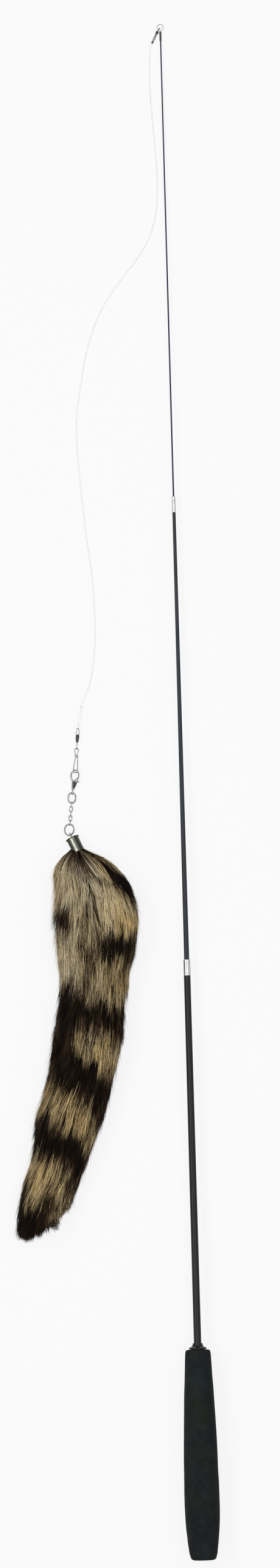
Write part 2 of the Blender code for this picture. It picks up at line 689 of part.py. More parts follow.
def wire_eye(name, points, radius, finish, parent, head_radius, head, head_end):
    """A wire eye whose stem ends in a flat head. points start where the stem leaves its hole."""
    stem = [Vector((0, 0, head_end)), Vector((0, 0, head_end + head)),
            Vector((0, 0, head_end + head * 1.05))]
    swell = [head_radius / radius] * 2 + [1.0] * (len(points) + 1)
    return wire(name, stem + points, radius, finish, parent, swell=swell)


def line_bottom(loop):
    """The knot and the loop through the swivel's top eye. The loop's strands pass above and below the
    eye's wire, and lie side by side further up."""
    half = STRAND_RADIUS + SWIVEL_WIRE_RADIUS + LINK_GAP
    close = STRAND_RADIUS + LINK_GAP / 3
    knot = LOWER_LOOP_LENGTH
    bend = [Vector((0, across, along))
            for across, along in arc(half, half, math.radians(90), math.radians(270), 10, (0, half))]
    rising = [Vector((half * 0.15, half * 0.98, half + 0.9 * MM)),
              Vector((LOWER_LOOP_SPREAD * 0.7, half * 0.7, half + 2.0 * MM)),
              Vector((LOWER_LOOP_SPREAD, 0, half + 4.4 * MM)),
              Vector((LOWER_LOOP_SPREAD * 0.8, 0, (knot + half) / 2 + 2.0 * MM)),
              Vector((close * 1.05, 0, knot - 1.2 * MM)),
              Vector((close, 0, knot))]
    other = [Vector((-point.x, -point.y, point.z)) for point in rising]
    points = smooth(rising[::-1] + bend[:1], 12) + bend[1:-1] + smooth(bend[-1:] + other, 12)
    wire("lower_loop", points, STRAND_RADIUS, "clear_line", loop)
    foot = LOWER_LOOP_LENGTH + SEAT_GAP
    top = foot + KNOT_LENGTH
    flat = KNOT_RADIUS * 0.8
    turned("line_knot", [(0, top), (flat, top), (KNOT_RADIUS, top - KNOT_LENGTH * 0.3),
                         (KNOT_RADIUS, foot + KNOT_LENGTH * 0.3), (flat, foot), (0, foot)],
           "clear_line", loop, 12)


def swivel_parts(swivel):
    """The top eye, the barrel and the lower eye. Gives the frame of the lower eye."""
    top = bow_offset(STRAND_RADIUS, SWIVEL_WIRE_RADIUS)
    foot = top - SWIVEL_TOP_EYE_LENGTH
    barrel_top = foot - SWIVEL_WIRE_RADIUS - LINK_GAP
    half = SWIVEL_TOP_EYE_HALF_WIDTH
    crown = SWIVEL_WIRE_RADIUS * 2.2
    under_plate = barrel_top - BARREL_PLATE - LINK_GAP
    start = [(0, foot - 0.05 * MM), (half * 0.55, foot + 0.05 * MM), (half, foot + 0.55 * MM)]
    bow = arc(crown, crown, math.radians(75), math.radians(-75), 6, (0, top - crown))
    end = [(-half, foot + 0.55 * MM), (-half * 0.62, foot + 0.08 * MM)]
    wire_eye("swivel_top_eye", rolled(start + bow + end, FLAT), SWIVEL_WIRE_RADIUS, "nickel", swivel,
             SWIVEL_HEAD_RADIUS, SWIVEL_HEAD, under_plate - SWIVEL_HEAD)
    barrel = frame("swivel_barrel_axis", swivel, (0, 0, barrel_top))
    cavity_top = -BARREL_PLATE
    cavity_foot = cavity_top - BARREL_CAVITY_LENGTH
    edge = 0.2 * MM
    profile = [(BARREL_RADIUS - edge, 0), (BARREL_RADIUS, -edge), (BARREL_RADIUS, cavity_foot * 0.8),
               (BARREL_FOOT_RADIUS, -BARREL_LENGTH), (BARREL_BORE_RADIUS, -BARREL_LENGTH),
               (BARREL_BORE_RADIUS, cavity_foot), (BARREL_CAVITY_RADIUS, cavity_foot),
               (BARREL_CAVITY_RADIUS, cavity_top), (BARREL_BORE_RADIUS, cavity_top),
               (BARREL_BORE_RADIUS, 0)]
    turned("swivel_barrel", profile, "dark_steel", barrel, 16)
    lower = frame("swivel_lower_axis", barrel, (0, 0, -BARREL_LENGTH))
    reach = -SWIVEL_LOWER_EYE_LENGTH - SWIVEL_WIRE_RADIUS
    neck = -SWIVEL_WIRE_RADIUS - LINK_GAP
    half = SWIVEL_LOWER_EYE_HALF_WIDTH
    start = [(0, neck), (half * 0.45, neck - 0.5 * MM), (half * 0.92, neck - 1.5 * MM)]
    bow = arc(half, half, math.radians(90), math.radians(270), 9, (0, reach + half))
    end = [(-half * 0.92, neck - 1.5 * MM), (-half * 0.62, neck - 0.75 * MM)]
    head_end = BARREL_LENGTH + cavity_foot + LINK_GAP
    eye_points = rolled(start + bow + end, ON_EDGE)
    stem = [Vector((0, 0, head_end + SWIVEL_HEAD)), Vector((0, 0, head_end)),
            Vector((0, 0, head_end - SWIVEL_HEAD * 0.05))]
    swell = [SWIVEL_HEAD_RADIUS / SWIVEL_WIRE_RADIUS] * 2 + [1.0] * (len(eye_points) + 1)
    wire("swivel_lower_eye", stem + eye_points, SWIVEL_WIRE_RADIUS, "nickel", lower, swell=swell)
    return lower, reach


def snap(parent, reach):
    """A bent wire snap: a small head, a neck and a long foot, sprung shut at the neck."""
    holder = frame("snap_pivot", parent, (0, 0, reach), (0, math.radians(SNAP_TURN), 0))
    top = bow_offset(SWIVEL_WIRE_RADIUS, SNAP_WIRE_RADIUS)
    foot = top - SNAP_LENGTH
    neck = top - SNAP_NECK_FROM_TOP
    head, waist, wide = SNAP_HEAD_HALF_WIDTH, SNAP_NECK_HALF_WIDTH, SNAP_FOOT_HALF_WIDTH
    aside = SNAP_WIRE_RADIUS + LINK_GAP / 2
    points = [(waist * 1.02, neck - SNAP_LAP, aside), (waist, neck + SNAP_LAP, aside),
              (waist * 1.2, neck + 1.5 * MM, aside * 0.6)]
    points += arc(head, head, math.radians(100), math.radians(-100), 10, (0, top - head))
    points += [(-waist * 1.1, neck + 0.9 * MM), (-waist, neck), (-waist * 1.15, neck - 1.5 * MM),
               (-(waist + wide) / 2, (neck + foot) / 2)]
    tall = SNAP_FOOT_HALF_HEIGHT
    points += arc(wide, tall, math.radians(-95), math.radians(-265), 10, (0, foot + tall))
    points += [((waist + wide) / 2, (neck + foot) / 2, -aside * 0.5),
               (waist * 1.15, neck - 1.7 * MM, -aside), (waist, neck + SNAP_LAP, -aside)]
    wire("snap", rolled(points, SNAP_ROLL), SNAP_WIRE_RADIUS, "nickel", holder)
    return holder, foot


def clasp(parent, reach):
    """A lobster clasp: hook, slotted body, sprung gate, pin and spring."""
    holder = frame("clasp_pivot", parent, (0, 0, reach), (0, math.radians(CLASP_TURN), 0))
    half_band = CLASP_BAND / 2
    centre = bow_offset(SNAP_WIRE_RADIUS, half_band) + HOOK_PLAY - CLASP_HALF_HEIGHT
    pivot = (PIVOT_ACROSS, centre - PIVOT_BELOW_CENTRE)
    outer = (CLASP_HALF_WIDTH + half_band, CLASP_HALF_HEIGHT + half_band)
    inner = (CLASP_HALF_WIDTH - half_band, CLASP_HALF_HEIGHT - half_band)
    middle = (0, centre)
    outline = arc(*outer, HOOK_END[0], math.radians(-150), 18, middle)
    outline += [(-CLASP_TAIL_HALF_WIDTH, -CLASP_TAIL_STATION), (CLASP_TAIL_HALF_WIDTH, -CLASP_TAIL_STATION)]
    outline += arc(BOSS_RADIUS, BOSS_RADIUS, math.radians(120), math.radians(-105), 9, pivot)
    outline += arc(*inner, math.radians(168), math.radians(360) + HOOK_END[1], 18, middle)
    body = as_mesh(plate("clasp_body", outline, CLASP_THICKNESS, "nickel", holder, CLASP_CHAMFER))
    thinned(body, centre + 0.2 * outer[1], centre + 0.7 * outer[1], HOOK_THICKNESS / CLASP_THICKNESS)
    eye_top = -CLASP_TAIL_STATION - CLASP_EYE_WIRE_RADIUS * 0.3
    eye_foot = eye_top - CLASP_EYE_LENGTH
    eye_loop = rolled(stadium(CLASP_EYE_HALF_WIDTH, eye_top, eye_foot), ON_EDGE)
    eye = as_mesh(wire("clasp_eye_ring", eye_loop, CLASP_EYE_WIRE_RADIUS, "nickel", holder, closed=True))
    combine(body, eye, "UNION")
    slot = [(pivot[0] - 1.75 * MM, pivot[1] + 1.4 * MM), (pivot[0] - 1.75 * MM, pivot[1] - 1.5 * MM),
            (pivot[0] + 2.0 * MM, pivot[1] - 1.5 * MM), (pivot[0] + 2.0 * MM, pivot[1] + 1.4 * MM)]
    combine(body, as_mesh(plate("gate_slot", slot, SLOT_THICKNESS, "nickel", holder)), "DIFFERENCE")
    hole = arc(PIN_HOLE_RADIUS, PIN_HOLE_RADIUS, 0, math.radians(330), 11, pivot)
    combine(body, as_mesh(plate("pin_hole", hole, CLASP_THICKNESS + 1.0 * MM, "nickel", holder)),
            "DIFFERENCE")
    spring_across = pivot[0] - 0.95 * MM
    pocket_foot = pivot[1] - 3.4 * MM
    pocket = [(0, pivot[1] - 1.2 * MM), (SPRING_POCKET_RADIUS, pivot[1] - 1.2 * MM),
              (SPRING_POCKET_RADIUS, pocket_foot), (0, pocket_foot)]
    pocket_frame = frame("pocket_axis", holder, (spring_across, 0, 0))
    combine(body, turned("spring_pocket", pocket, "nickel", pocket_frame, 12), "DIFFERENCE")
    spring_foot = pocket_foot + SPRING_WIRE_RADIUS + LINK_GAP
    spring_top = pivot[1] - 1.35 * MM
    coil = []
    for number in range(SPRING_TURNS * 8 + 1):
        angle = math.radians(45) * number
        rise = (spring_top - spring_foot) * number / (SPRING_TURNS * 8)
        coil.append(Vector((SPRING_COIL_RADIUS * math.cos(angle), SPRING_COIL_RADIUS * math.sin(angle),
                            spring_foot + rise)))
    wire("clasp_spring", coil, SPRING_WIRE_RADIUS, "bare_steel", pocket_frame, resolution=0)
    gate(holder, pivot, outer, inner, centre)
    return holder, eye_foot


def gate(holder, pivot, outer, inner, centre):
    """The sprung gate and its pin, drawn about the pivot."""
    hinge = frame("gate_hinge", holder, (pivot[0], 0, pivot[1]))
    middle = (-pivot[0], centre - pivot[1])
    arm = arc(*outer, GATE_FROM[0], GATE_TO, 5, middle)
    arm += arc(*inner, GATE_TO, GATE_FROM[1], 5, middle)
    body = as_mesh(plate("clasp_gate", arm, GATE_THICKNESS, "nickel", hinge))
    tab = [(0.95, 1.30), (0.45, 1.75), (-0.30, 0.95), (-0.80, 0.35), (-1.35, -0.10), (-1.45, -0.50),
           (-1.10, -0.80), (-0.55, -0.80), (0.00, -0.78), (0.80, -1.15), (1.70, -1.50), (2.05, -1.05),
           (1.35, -0.45), (0.90, 0.10), (0.80, 0.70)]
    tab = [(across * MM, along * MM) for across, along in reversed(tab)]
    combine(body, as_mesh(plate("gate_tab", tab, TAB_THICKNESS, "nickel", hinge)), "UNION")
    hole = arc(PIN_HOLE_RADIUS, PIN_HOLE_RADIUS, 0, math.radians(330), 11)
    combine(body, as_mesh(plate("gate_hole", hole, GATE_THICKNESS, "nickel", hinge)), "DIFFERENCE")
    pin = arc(PIN_RADIUS, PIN_RADIUS, 0, math.radians(324), 9)
    plate("clasp_pin", pin, CLASP_THICKNESS - LINK_GAP, "bare_steel", hinge)


def split_ring(name, parent, reach, above, half_width, length, turn, tip=0.0):
    """An oval jump ring, with its slit at one side. above is the wire radius that it hangs from."""
    holder = frame(name + "_pivot", parent, (0, 0, reach), (-math.radians(tip), math.radians(turn), 0))
    top = bow_offset(above, RING_WIRE_RADIUS)
    first = math.radians(90) + RING_SLIT / 2
    ring = arc(half_width, length / 2, first, first + math.radians(360) - RING_SLIT, 26,
               (0, top - length / 2))
    wire(name, rolled(ring, FLAT), RING_WIRE_RADIUS, "nickel", holder)
    return holder, top - length


def chain(parent, reach, above):
    """Oval links by turns on edge and flat. The first hangs in a ring that lies flat."""
    holder = parent
    for number in range(CHAIN_LINKS):
        turn = math.radians(CHAIN_TURN) if number == 0 else 0.0
        tip = -math.radians(CHAIN_TIPS[number % len(CHAIN_TIPS)])
        name = "chain_link_%d" % (number + 1)
        holder = frame(name + "_pivot", holder, (0, 0, reach), (tip, turn, 0))
        top = bow_offset(above, CHAIN_WIRE_RADIUS)
        reach = top - CHAIN_LENGTH
        roll = ON_EDGE if number % 2 == 0 else FLAT
        loop = rolled(stadium(CHAIN_HALF_WIDTH, top, reach, 7), roll)
        wire(name, loop, CHAIN_WIRE_RADIUS, "nickel", holder, closed=True, resolution=1)
        above = CHAIN_WIRE_RADIUS
    return holder, reach


def cap(ring_holder, ring_top):
    """The cap hangs a little to one side on the ring, where the ring's wire runs square to it."""
    half, tall = LOWER_RING_HALF_WIDTH, LOWER_RING_LENGTH / 2
    lean = math.radians(-CAP_TURN)
    angle = math.atan(math.tan(lean) * half / tall)
    at = (half * math.sin(angle), 0, ring_top - tall - tall * math.cos(angle))
    holder = frame("cap_pivot", ring_holder, at, (-math.radians(CAP_TIP), -lean, 0))
    top = bow_offset(RING_WIRE_RADIUS, CAP_EYE_WIRE_RADIUS)
    neck = top - CAP_EYE_LENGTH
    plate_top = neck - CAP_EYE_WIRE_RADIUS - LINK_GAP / 2
    plate_foot = plate_top - CAP_PLATE
    half = CAP_EYE_HALF_WIDTH
    start = [(0, neck), (half * 0.7, neck + 0.28 * MM), (half, neck + 1.0 * MM)]
    bow = arc(half, half, math.radians(90), math.radians(-90), 9, (0, top - half))
    end = [(-half, neck + 1.0 * MM), (-half * 0.85, neck + 0.45 * MM)]
    head = 0.5 * MM
    wire_eye("cap_eye", rolled(start + bow + end, ON_EDGE), CAP_EYE_WIRE_RADIUS, "nickel", holder,
             CAP_EYE_HEAD_RADIUS, head, plate_foot - LINK_GAP - head)
    foot = plate_top - CAP_LENGTH
    inside = CAP_RADIUS - CAP_WALL
    profile = [(CAP_RIM_RADIUS, plate_top), (CAP_RIM_RADIUS, plate_top - CAP_RIM * 0.6),
               (CAP_RADIUS, plate_top - CAP_RIM), (CAP_RADIUS, foot), (inside, foot),
               (inside, plate_foot), (CAP_HOLE_RADIUS, plate_foot), (CAP_HOLE_RADIUS, plate_top)]
    turned("end_cap", profile, "gunmetal", holder, 24)
    return holder, plate_foot - LINK_GAP - head - SEAT_GAP, foot


def tail(holder, core_top, cap_foot, root):
    """The fur body and the hide core inside it. Both follow one path, in the root's frame."""
    bpy.context.view_layer.update()
    into_root = root.matrix_world.inverted() @ holder.matrix_world
    inner_end = into_root @ Vector((0, 0, core_top))
    fur_root = into_root @ Vector((0, 0, cap_foot - SEAT_GAP))
    along_cap = (fur_root - inner_end).normalized()
    path, radii = [], []
    for share, shift, width in TAIL_OUTLINE:
        radius = TAIL_WIDTH / 2 * width
        height = radius * TAIL_FLATNESS - TAIL_FLAT_DEPTH
        path.append(Vector((fur_root.x + shift * TAIL_WIDTH, fur_root.y - share * TAIL_LENGTH, height)))
        radii.append(radius)
    root_radius = TAIL_WIDTH / 2 * TAIL_ROOT_SHARE
    starts = [fur_root - along_cap * FUR_OVERRUN, fur_root]
    body = fur_body(starts + path, [root_radius] * 2 + radii, holder, root, fur_root, along_cap)
    reach = int(len(path) * CORE_SHARE)
    spine = smooth([inner_end, fur_root, *path[1:reach]], 26)
    core_radii = []
    for number in range(len(spine)):
        share = number / (len(spine) - 1)
        core_radii.append(CORE_RADIUS + (CORE_TIP_RADIUS - CORE_RADIUS) * share)
    swell = [radius / CORE_RADIUS for radius in core_radii]
    core = as_mesh(wire("tail_core", spine, CORE_RADIUS, "hide", root, swell=swell))
    core.data.transform(holder.matrix_world.inverted() @ root.matrix_world)
    core.parent = holder
    room = CORE_RADIUS + SEAT_GAP * 1.2
    swell = [(radius + SEAT_GAP * 1.2) / room for radius in core_radii]
    spine[-1] = spine[-1] + (spine[-1] - spine[-2]).normalized() * SEAT_GAP
    bore = as_mesh(wire("core_bore", spine, room, "hide", root, swell=swell))
    combine(body, as_cutter(bore), "DIFFERENCE")


def fur_body(path, radii, holder, root, fur_root, along_cap):
    """A tube that swells and tapers, squashed to its flatness, cut square at the cap and flat below."""
    squash = Matrix.Diagonal((1, 1, TAIL_FLATNESS, 1))
    tall = [squash.inverted() @ point for point in path]
    stations = [Vector((radius, number, 0)) for number, radius in enumerate(radii)]
    count = 34
    centres = smooth(tall, count)
    widest = max(radii)
    swell = []
    for centre in centres:
        after = min(range(1, len(tall)), key=lambda k: nearest_share(centre, tall[k - 1], tall[k])[1])
        share = nearest_share(centre, tall[after - 1], tall[after])[0]
        radius = stations[after - 1].x + (stations[after].x - stations[after - 1].x) * share
        swell.append(radius / widest)
    body = as_mesh(wire("tail_fur", centres, widest, "fur", root, resolution=8, swell=swell))
    body.data.transform(squash)
    shape = bmesh.new()
    shape.from_mesh(body.data)
    for place, normal in ((fur_root, -along_cap), (Vector((0, 0, 0)), Vector((0, 0, -1)))):
        parts = shape.verts[:] + shape.edges[:] + shape.faces[:]
        cut = bmesh.ops.bisect_plane(shape, geom=parts, dist=0.0000001, plane_co=place,
                                     plane_no=normal, clear_outer=True)
        edges = [edge for edge in cut["geom_cut"] if isinstance(edge, bmesh.types.BMEdge)]
        bmesh.ops.holes_fill(shape, edges=edges)
    bmesh.ops.recalc_face_normals(shape, faces=shape.faces)
    shape.to_mesh(body.data)
    shape.free()
    body.data.transform(holder.matrix_world.inverted() @ root.matrix_world)
    body.parent = holder
    return body


def nearest_share(point, first, second):
    """How far along a straight stretch a point is nearest, as a share, and its distance."""
    along = second - first
    share = max(0.0, min(1.0, (point - first).dot(along) / along.length_squared))
    return share, (first + along * share - point).length


def stand_on_origin(root, left_out):
    """Moves the whole so that the origin is below the middle of its box, on the surface."""
    bpy.context.view_layer.update()
    graph = bpy.context.evaluated_depsgraph_get()
    low = Vector((math.inf,) * 3)
    high = Vector((-math.inf,) * 3)
    for item in PIECES.objects:
        if item.type == "EMPTY" or item.name in left_out:
            continue
        shown = item.evaluated_get(graph)
        mesh = shown.to_mesh()
        for vertex in mesh.vertices:
            place = item.matrix_world @ vertex.co
            low = Vector(map(min, low, place))
            high = Vector(map(max, high, place))
        shown.to_mesh_clear()
    root.location = (-(low.x + high.x) / 2, -(low.y + high.y) / 2, -low.z)


def build():
    root = frame("teaser", None)
    wand = frame("wand", root, (0, 0, BUTT_HEIGHT), (-math.radians(90) - SLOPE, 0, 0))
    grip(wand)
    collar(wand)
    plug(wand)
    base_section(wand)
    tip = tip_section(mid_section(wand))
    floor = frame("tip_on_surface", tip)
    bpy.context.view_layer.update()
    floor.matrix_world = Matrix.Translation((0, TIP * math.cos(SLOPE), 0))
    bpy.context.view_layer.update()
    swivel = frame("swivel_top", floor, (*LURE_START, HARDWARE_HEIGHT),
                   (-math.radians(90), 0, -math.radians(LURE_HEADING)))
    start, after = line_top(tip, floor)
    loop = frame("lower_loop_axis", swivel, (0, 0, 0), (0, math.radians(LOWER_LOOP_TURN), 0))
    bpy.context.view_layer.update()
    line(floor, loop, start, after)
    line_bottom(loop)
    holder, reach = swivel_parts(swivel)
    holder, reach = snap(holder, reach)
    holder, reach = clasp(holder, reach)
    holder, reach = split_ring("jump_ring_upper", holder, reach, CLASP_EYE_WIRE_RADIUS,
                               UPPER_RING_HALF_WIDTH, UPPER_RING_LENGTH, UPPER_RING_TURN)
    holder, reach = chain(holder, reach, RING_WIRE_RADIUS)
    holder, reach = split_ring("jump_ring_lower", holder, reach, CHAIN_WIRE_RADIUS,
                               LOWER_RING_HALF_WIDTH, LOWER_RING_LENGTH, LOWER_RING_TURN)
    ring_top = bow_offset(CHAIN_WIRE_RADIUS, RING_WIRE_RADIUS)
    holder, core_top, cap_foot = cap(holder, ring_top)
    tail(holder, core_top, cap_foot, root)
    stand_on_origin(root, ("line", "line_loop", "hitch_sleeve", "loop_crimp", "line_knot", "lower_loop"))


clear_scene()
PIECES = new_collection("telescopic_cat_teaser_wand")
CUTTERS = new_collection("cutters")
build()
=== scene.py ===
"""Looks of a telescopic cat teaser wand that lies extended on a table, built on its packed model.

Every piece is drawn in its own frame first and then set in place. The wand's frames run up the wand
along +Z, those of the hanging hardware up the line, and in both -Y is the side that faces up.
"""

import math

import bmesh
import bpy
import numpy as np
from bpy.props import FloatProperty, FloatVectorProperty, IntProperty, PointerProperty
from mathutils import Euler, Matrix, Vector, noise


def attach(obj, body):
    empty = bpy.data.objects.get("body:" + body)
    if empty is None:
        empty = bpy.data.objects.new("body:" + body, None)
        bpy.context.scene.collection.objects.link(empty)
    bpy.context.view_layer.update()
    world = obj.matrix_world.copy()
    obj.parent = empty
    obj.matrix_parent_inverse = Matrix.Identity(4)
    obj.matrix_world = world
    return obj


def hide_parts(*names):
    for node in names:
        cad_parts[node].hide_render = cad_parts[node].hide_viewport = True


bl_info = {
    "name": "Telescopic Cat Teaser Wand",
    "version": (1, 0, 0),
    "blender": (4, 5, 0),
    "location": "3D View > Sidebar > Teaser",
    "description": "Makes the pieces, finishes and stage of a telescopic cat teaser wand",
    "category": "Object",
}

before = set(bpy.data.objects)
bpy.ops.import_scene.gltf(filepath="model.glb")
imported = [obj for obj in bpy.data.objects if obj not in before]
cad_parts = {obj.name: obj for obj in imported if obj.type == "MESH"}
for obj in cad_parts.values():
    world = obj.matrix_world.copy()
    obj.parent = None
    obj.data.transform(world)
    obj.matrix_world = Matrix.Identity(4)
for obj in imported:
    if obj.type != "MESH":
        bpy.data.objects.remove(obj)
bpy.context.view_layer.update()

MM = 0.001

# Clearances
LINK_GAP = 0.2 * MM
SEAT_GAP = 0.3 * MM
NECK_GAP = 0.09 * MM
FERRULE_GAP = 0.05 * MM

# Distances at which points count as one, and how finely curves are drawn
POLE_MERGE = 0.0002 * MM
JOIN_MERGE = 0.0005 * MM
SAME_PLACE = 0.0001 * MM
CURVE_STEPS = 24
LINE_POINTS = 160
GRIP_ROWS = 96

# Where the butt of the wand stands, seen from above, and how high the model is set
BUTT_PLACE = (50.1475 * MM, -493.8845 * MM, 0.038 * MM)

# Grip details
GRIP_BELLY_STATION = 37.0 * MM
GRIP_TOP_ROUND = 1.6 * MM
GRIP_BUTT_ROUND = 2.4 * MM
COLLAR_RIM = 1.2 * MM
PLUG_RADIUS = 4.6 * MM
PLUG_HEAD = 2.6 * MM
PLUG_STEM_RADIUS = 1.6 * MM
PLUG_STEM = 12.0 * MM

# Dents in the foam: station from the butt, angle from its upper side towards its right, how long and
# how wide they are, and their depth
FOAM_DENTS = (
    (15.7, -62, 4.2, 4.6, 0.55),
    (22, 40, 9, 6, 0.16),
    (73.6, 58, 2.8, 2.6, 0.3),
    (48, -78, 13, 3.4, 0.26),
    (95, -60, 12, 6, 0.14),
    (118, 72, 9, 4, 0.15),
    (58, 84, 10, 5, 0.16),
    (104, 160, 14, 9, 0.25),
    (38, 178, 20, 8, 0.2),
)

# Creases in the foam: angle round the grip, from and to which station, and how wide, in radians and metres
FOAM_CREASES = ((-1.05, 0.036, 0.062, 0.018), (-1.22, 0.041, 0.056, 0.012), (0.62, 0.088, 0.104, 0.01),
                (-0.3, 0.012, 0.021, 0.012))

# Sections
FERRULE_LIP = 1.0 * MM
BASE_FOOT_RADIUS = 2.6 * MM
BASE_BORE_RADIUS = 1.87 * MM
BASE_SEAT_RADIUS = 2.02 * MM
MID_HIDDEN = 28.0 * MM
MID_BORE_RADIUS = 0.76 * MM
MID_SEAT_RADIUS = 0.93 * MM
MID_BUSH_SEAT_RADIUS = 1.42 * MM
TIP_HIDDEN = 26.0 * MM
TIP_BUSH_SEAT_RADIUS = 0.38 * MM
BUSH_LENGTH = 5.6 * MM
BUSH_FLANGE = 0.8 * MM
TIP_SLEEVE_BORE = 0.54 * MM
TIP_ROD_IN_SLEEVE = 2.6 * MM
TIP_WIRE_RADIUS = 0.19 * MM
TIP_AXIS_HEIGHT = 1.15 * MM

# Line
STRAND_RADIUS = 0.29 * MM
STRAND_OFFSET = STRAND_RADIUS + LINK_GAP / 3
HITCH_RADIUS = 0.95 * MM
HITCH_LENGTH = 1.9 * MM
CRIMP_RADIUS = 0.7 * MM
CRIMP_LENGTH = 2.2 * MM
KNOT_RADIUS = 0.85 * MM
KNOT_LENGTH = 2.0 * MM
KNOT_COIL = 0.16 * MM
LOWER_LOOP_LENGTH = 13.0 * MM
LOOP_SPREAD = 0.62 * MM
LOWER_LOOP_TURN = 5.0
CRIMP_BELOW_HITCH = 4.6 * MM
CRIMP_FALL = Vector((0, 0.35 * MM, 0))
STRANDS_APART_BELOW_HITCH = 3.6 * MM
HARDWARE_HEIGHT = 1.6 * MM
LURE_START = (-65.7 * MM, -452.0 * MM)
LURE_HEADING = 5.4

# Route of the line seen from above, in millimetres from the wand's tip: sideways, along the wand
LINE_ROUTE = (
    (-7, -18), (-7.8, -27), (-7.9, -40), (-7.1, -57), (-5.9, -74), (-5, -92),
    (-5, -107), (-6.2, -121), (-10, -135), (-17, -147.5), (-25.5, -158.5),
    (-36.8, -172.8), (-43.3, -183.3), (-49.2, -196.6), (-53.7, -211), (-58.3, -233.9),
    (-60.9, -251), (-61.1, -272), (-59.5, -298), (-56.6, -331), (-54.3, -349.5),
    (-53.2, -368), (-52.9, -389), (-53.6, -401), (-55.4, -414.5), (-58.6, -426.5),
)

# Swivel
SWIVEL_WIRE_RADIUS = 0.25 * MM
SWIVEL_TOP_EYE_HALF_WIDTH = 1.05 * MM
SWIVEL_TOP_EYE_LENGTH = 3.75 * MM
BARREL_FOOT_RADIUS = 0.62 * MM
BARREL_PLATE = 0.5 * MM
BARREL_BORE_RADIUS = 0.42 * MM
BARREL_CAVITY_RADIUS = 0.86 * MM
BARREL_CAVITY_LENGTH = 1.7 * MM
SWIVEL_HEAD_RADIUS = 0.62 * MM
SWIVEL_HEAD = 0.4 * MM
SWIVEL_LOWER_EYE_HALF_WIDTH = 1.15 * MM
SWIVEL_LOWER_EYE_LENGTH = 4.1 * MM

# Snap
SNAP_HEAD_HALF_WIDTH = 1.55 * MM
SNAP_NECK_HALF_WIDTH = 0.78 * MM
SNAP_FOOT_HALF_WIDTH = 1.95 * MM
SNAP_FOOT_HALF_HEIGHT = 1.0 * MM
SNAP_NECK_FROM_TOP = 5.3 * MM
SNAP_LAP = 0.8 * MM
SNAP_ROLL = 42
SNAP_TURN = -0.6

# Clasp
CLASP_TURN = 5.2
CLASP_BAND = 1.0 * MM
CLASP_HALF_WIDTH = 2.45 * MM
CLASP_HALF_HEIGHT = 3.57 * MM
HOOK_THICKNESS = 1.0 * MM
HOOK_PLAY = 0.5 * MM
CLASP_TAIL_HALF_WIDTH = 0.85 * MM
CLASP_TAIL_STATION = 11.1 * MM
CLASP_EYE_WIRE_RADIUS = 0.42 * MM
CLASP_EYE_HALF_WIDTH = 1.2 * MM
CLASP_EYE_LENGTH = 3.0 * MM
CLASP_EYE_TOP = -CLASP_TAIL_STATION - CLASP_EYE_WIRE_RADIUS * 0.3
PIVOT_ACROSS = 1.57 * MM
PIVOT_BELOW_CENTRE = 2.68 * MM
BOSS_RADIUS = 1.05 * MM
GATE_THICKNESS = 1.8 * MM
TAB_THICKNESS = 0.7 * MM
SLOT_THICKNESS = 1.1 * MM
PIN_HOLE_RADIUS = 0.42 * MM
SPRING_POCKET_RADIUS = 0.56 * MM
HOOK_END = (72, 64)
GATE_FROM = (76, 69)
GATE_TO = 118

# Outlines of the gate's slot and of its nub, in millimetres from its pivot
GATE_SLOT = ((-1.75, 1.4), (-1.75, -1.5), (2, -1.5), (2, 1.4))
GATE_NUB = ((0.95, 1.3), (0.45, 1.75), (-0.3, 0.95), (-0.8, 0.35), (-1.35, -0.1), (-1.45, -0.5),
            (-1.1, -0.8), (-0.55, -0.8), (0.0, -0.78), (0.8, -1.15), (1.7, -1.5), (2.05, -1.05),
            (1.35, -0.45), (0.9, 0.1), (0.8, 0.7))

# Rings, chain and cap
UPPER_RING_TURN = -5.0
LOWER_RING_TURN = 2.3
CHAIN_TURN = 1.3
CHAIN_TIPS = (0, 0, 4, 0, 8)
RING_SLIT = 3.5
CAP_TURN = -32.0
CAP_TIP = 4.0
CAP_EYE_WIRE_RADIUS = 0.4 * MM
CAP_EYE_HALF_WIDTH = 1.2 * MM
CAP_EYE_LENGTH = 3.0 * MM
CAP_EYE_HEAD_RADIUS = 0.95 * MM
CAP_HOLE_RADIUS = 0.62 * MM
CAP_RIM_RADIUS = 4.6 * MM
CAP_RIM = 0.7 * MM
CAP_WALL = 0.45 * MM
CAP_PLATE = 0.8 * MM
CAP_SKIRT = 0.9 * MM
CAP_WAVE = 0.03 * MM

# Painted highlight and painted shade in streaks round the cap, brightest on its upper side: share of a turn,
# tone
CAP_PAINTED_LIGHT_STREAKS = ((0.0, 0.7), (0.24, 0.18), (0.34, 0.3), (0.4, 0.75), (0.44, 2.3), (0.49, 1.9), (0.53, 0.55),
               (0.58, 0.16), (0.63, 0.95), (0.68, 0.42), (0.75, 0.15), (0.88, 0.8), (1.0, 0.7))

# The fur's outline seen from above, in millimetres: how far below the cap's mouth each row lies, how far
# its middle lies to one side of the mouth, and its half width
TAIL_ROWS = (
    (0, 0, 3.6), (1, 0.4, 4.6), (1.9, 0.7, 9), (3.5, 1.2, 11.7), (5.1, 1.9, 14.2), (7.4, 2.7, 17),
    (9.8, 3.6, 19), (13, 4.6, 21.2), (16.1, 5.8, 23.1), (20.9, 7.8, 24.4), (28, 9.7, 25.7),
    (40, 10.5, 26.8), (50, 10.5, 26.9), (60, 9.9, 25.8), (71, 9, 24.2), (80, 7.7, 22.4),
    (92, 6.8, 21.7), (103, 5.2, 22.2), (115, 3.6, 22.9), (126, 1.7, 22.9), (138, -0.8, 22.6),
    (150, -3.6, 21.8), (161, -7, 21.9), (172, -10.8, 22.1), (184, -13.8, 20.6),
    (196, -16.8, 18.7), (207.5, -21, 18.3), (219, -25.6, 17.7), (227, -28.4, 17),
    (240, -30.4, 15.6), (252, -31.4, 14.4),
)
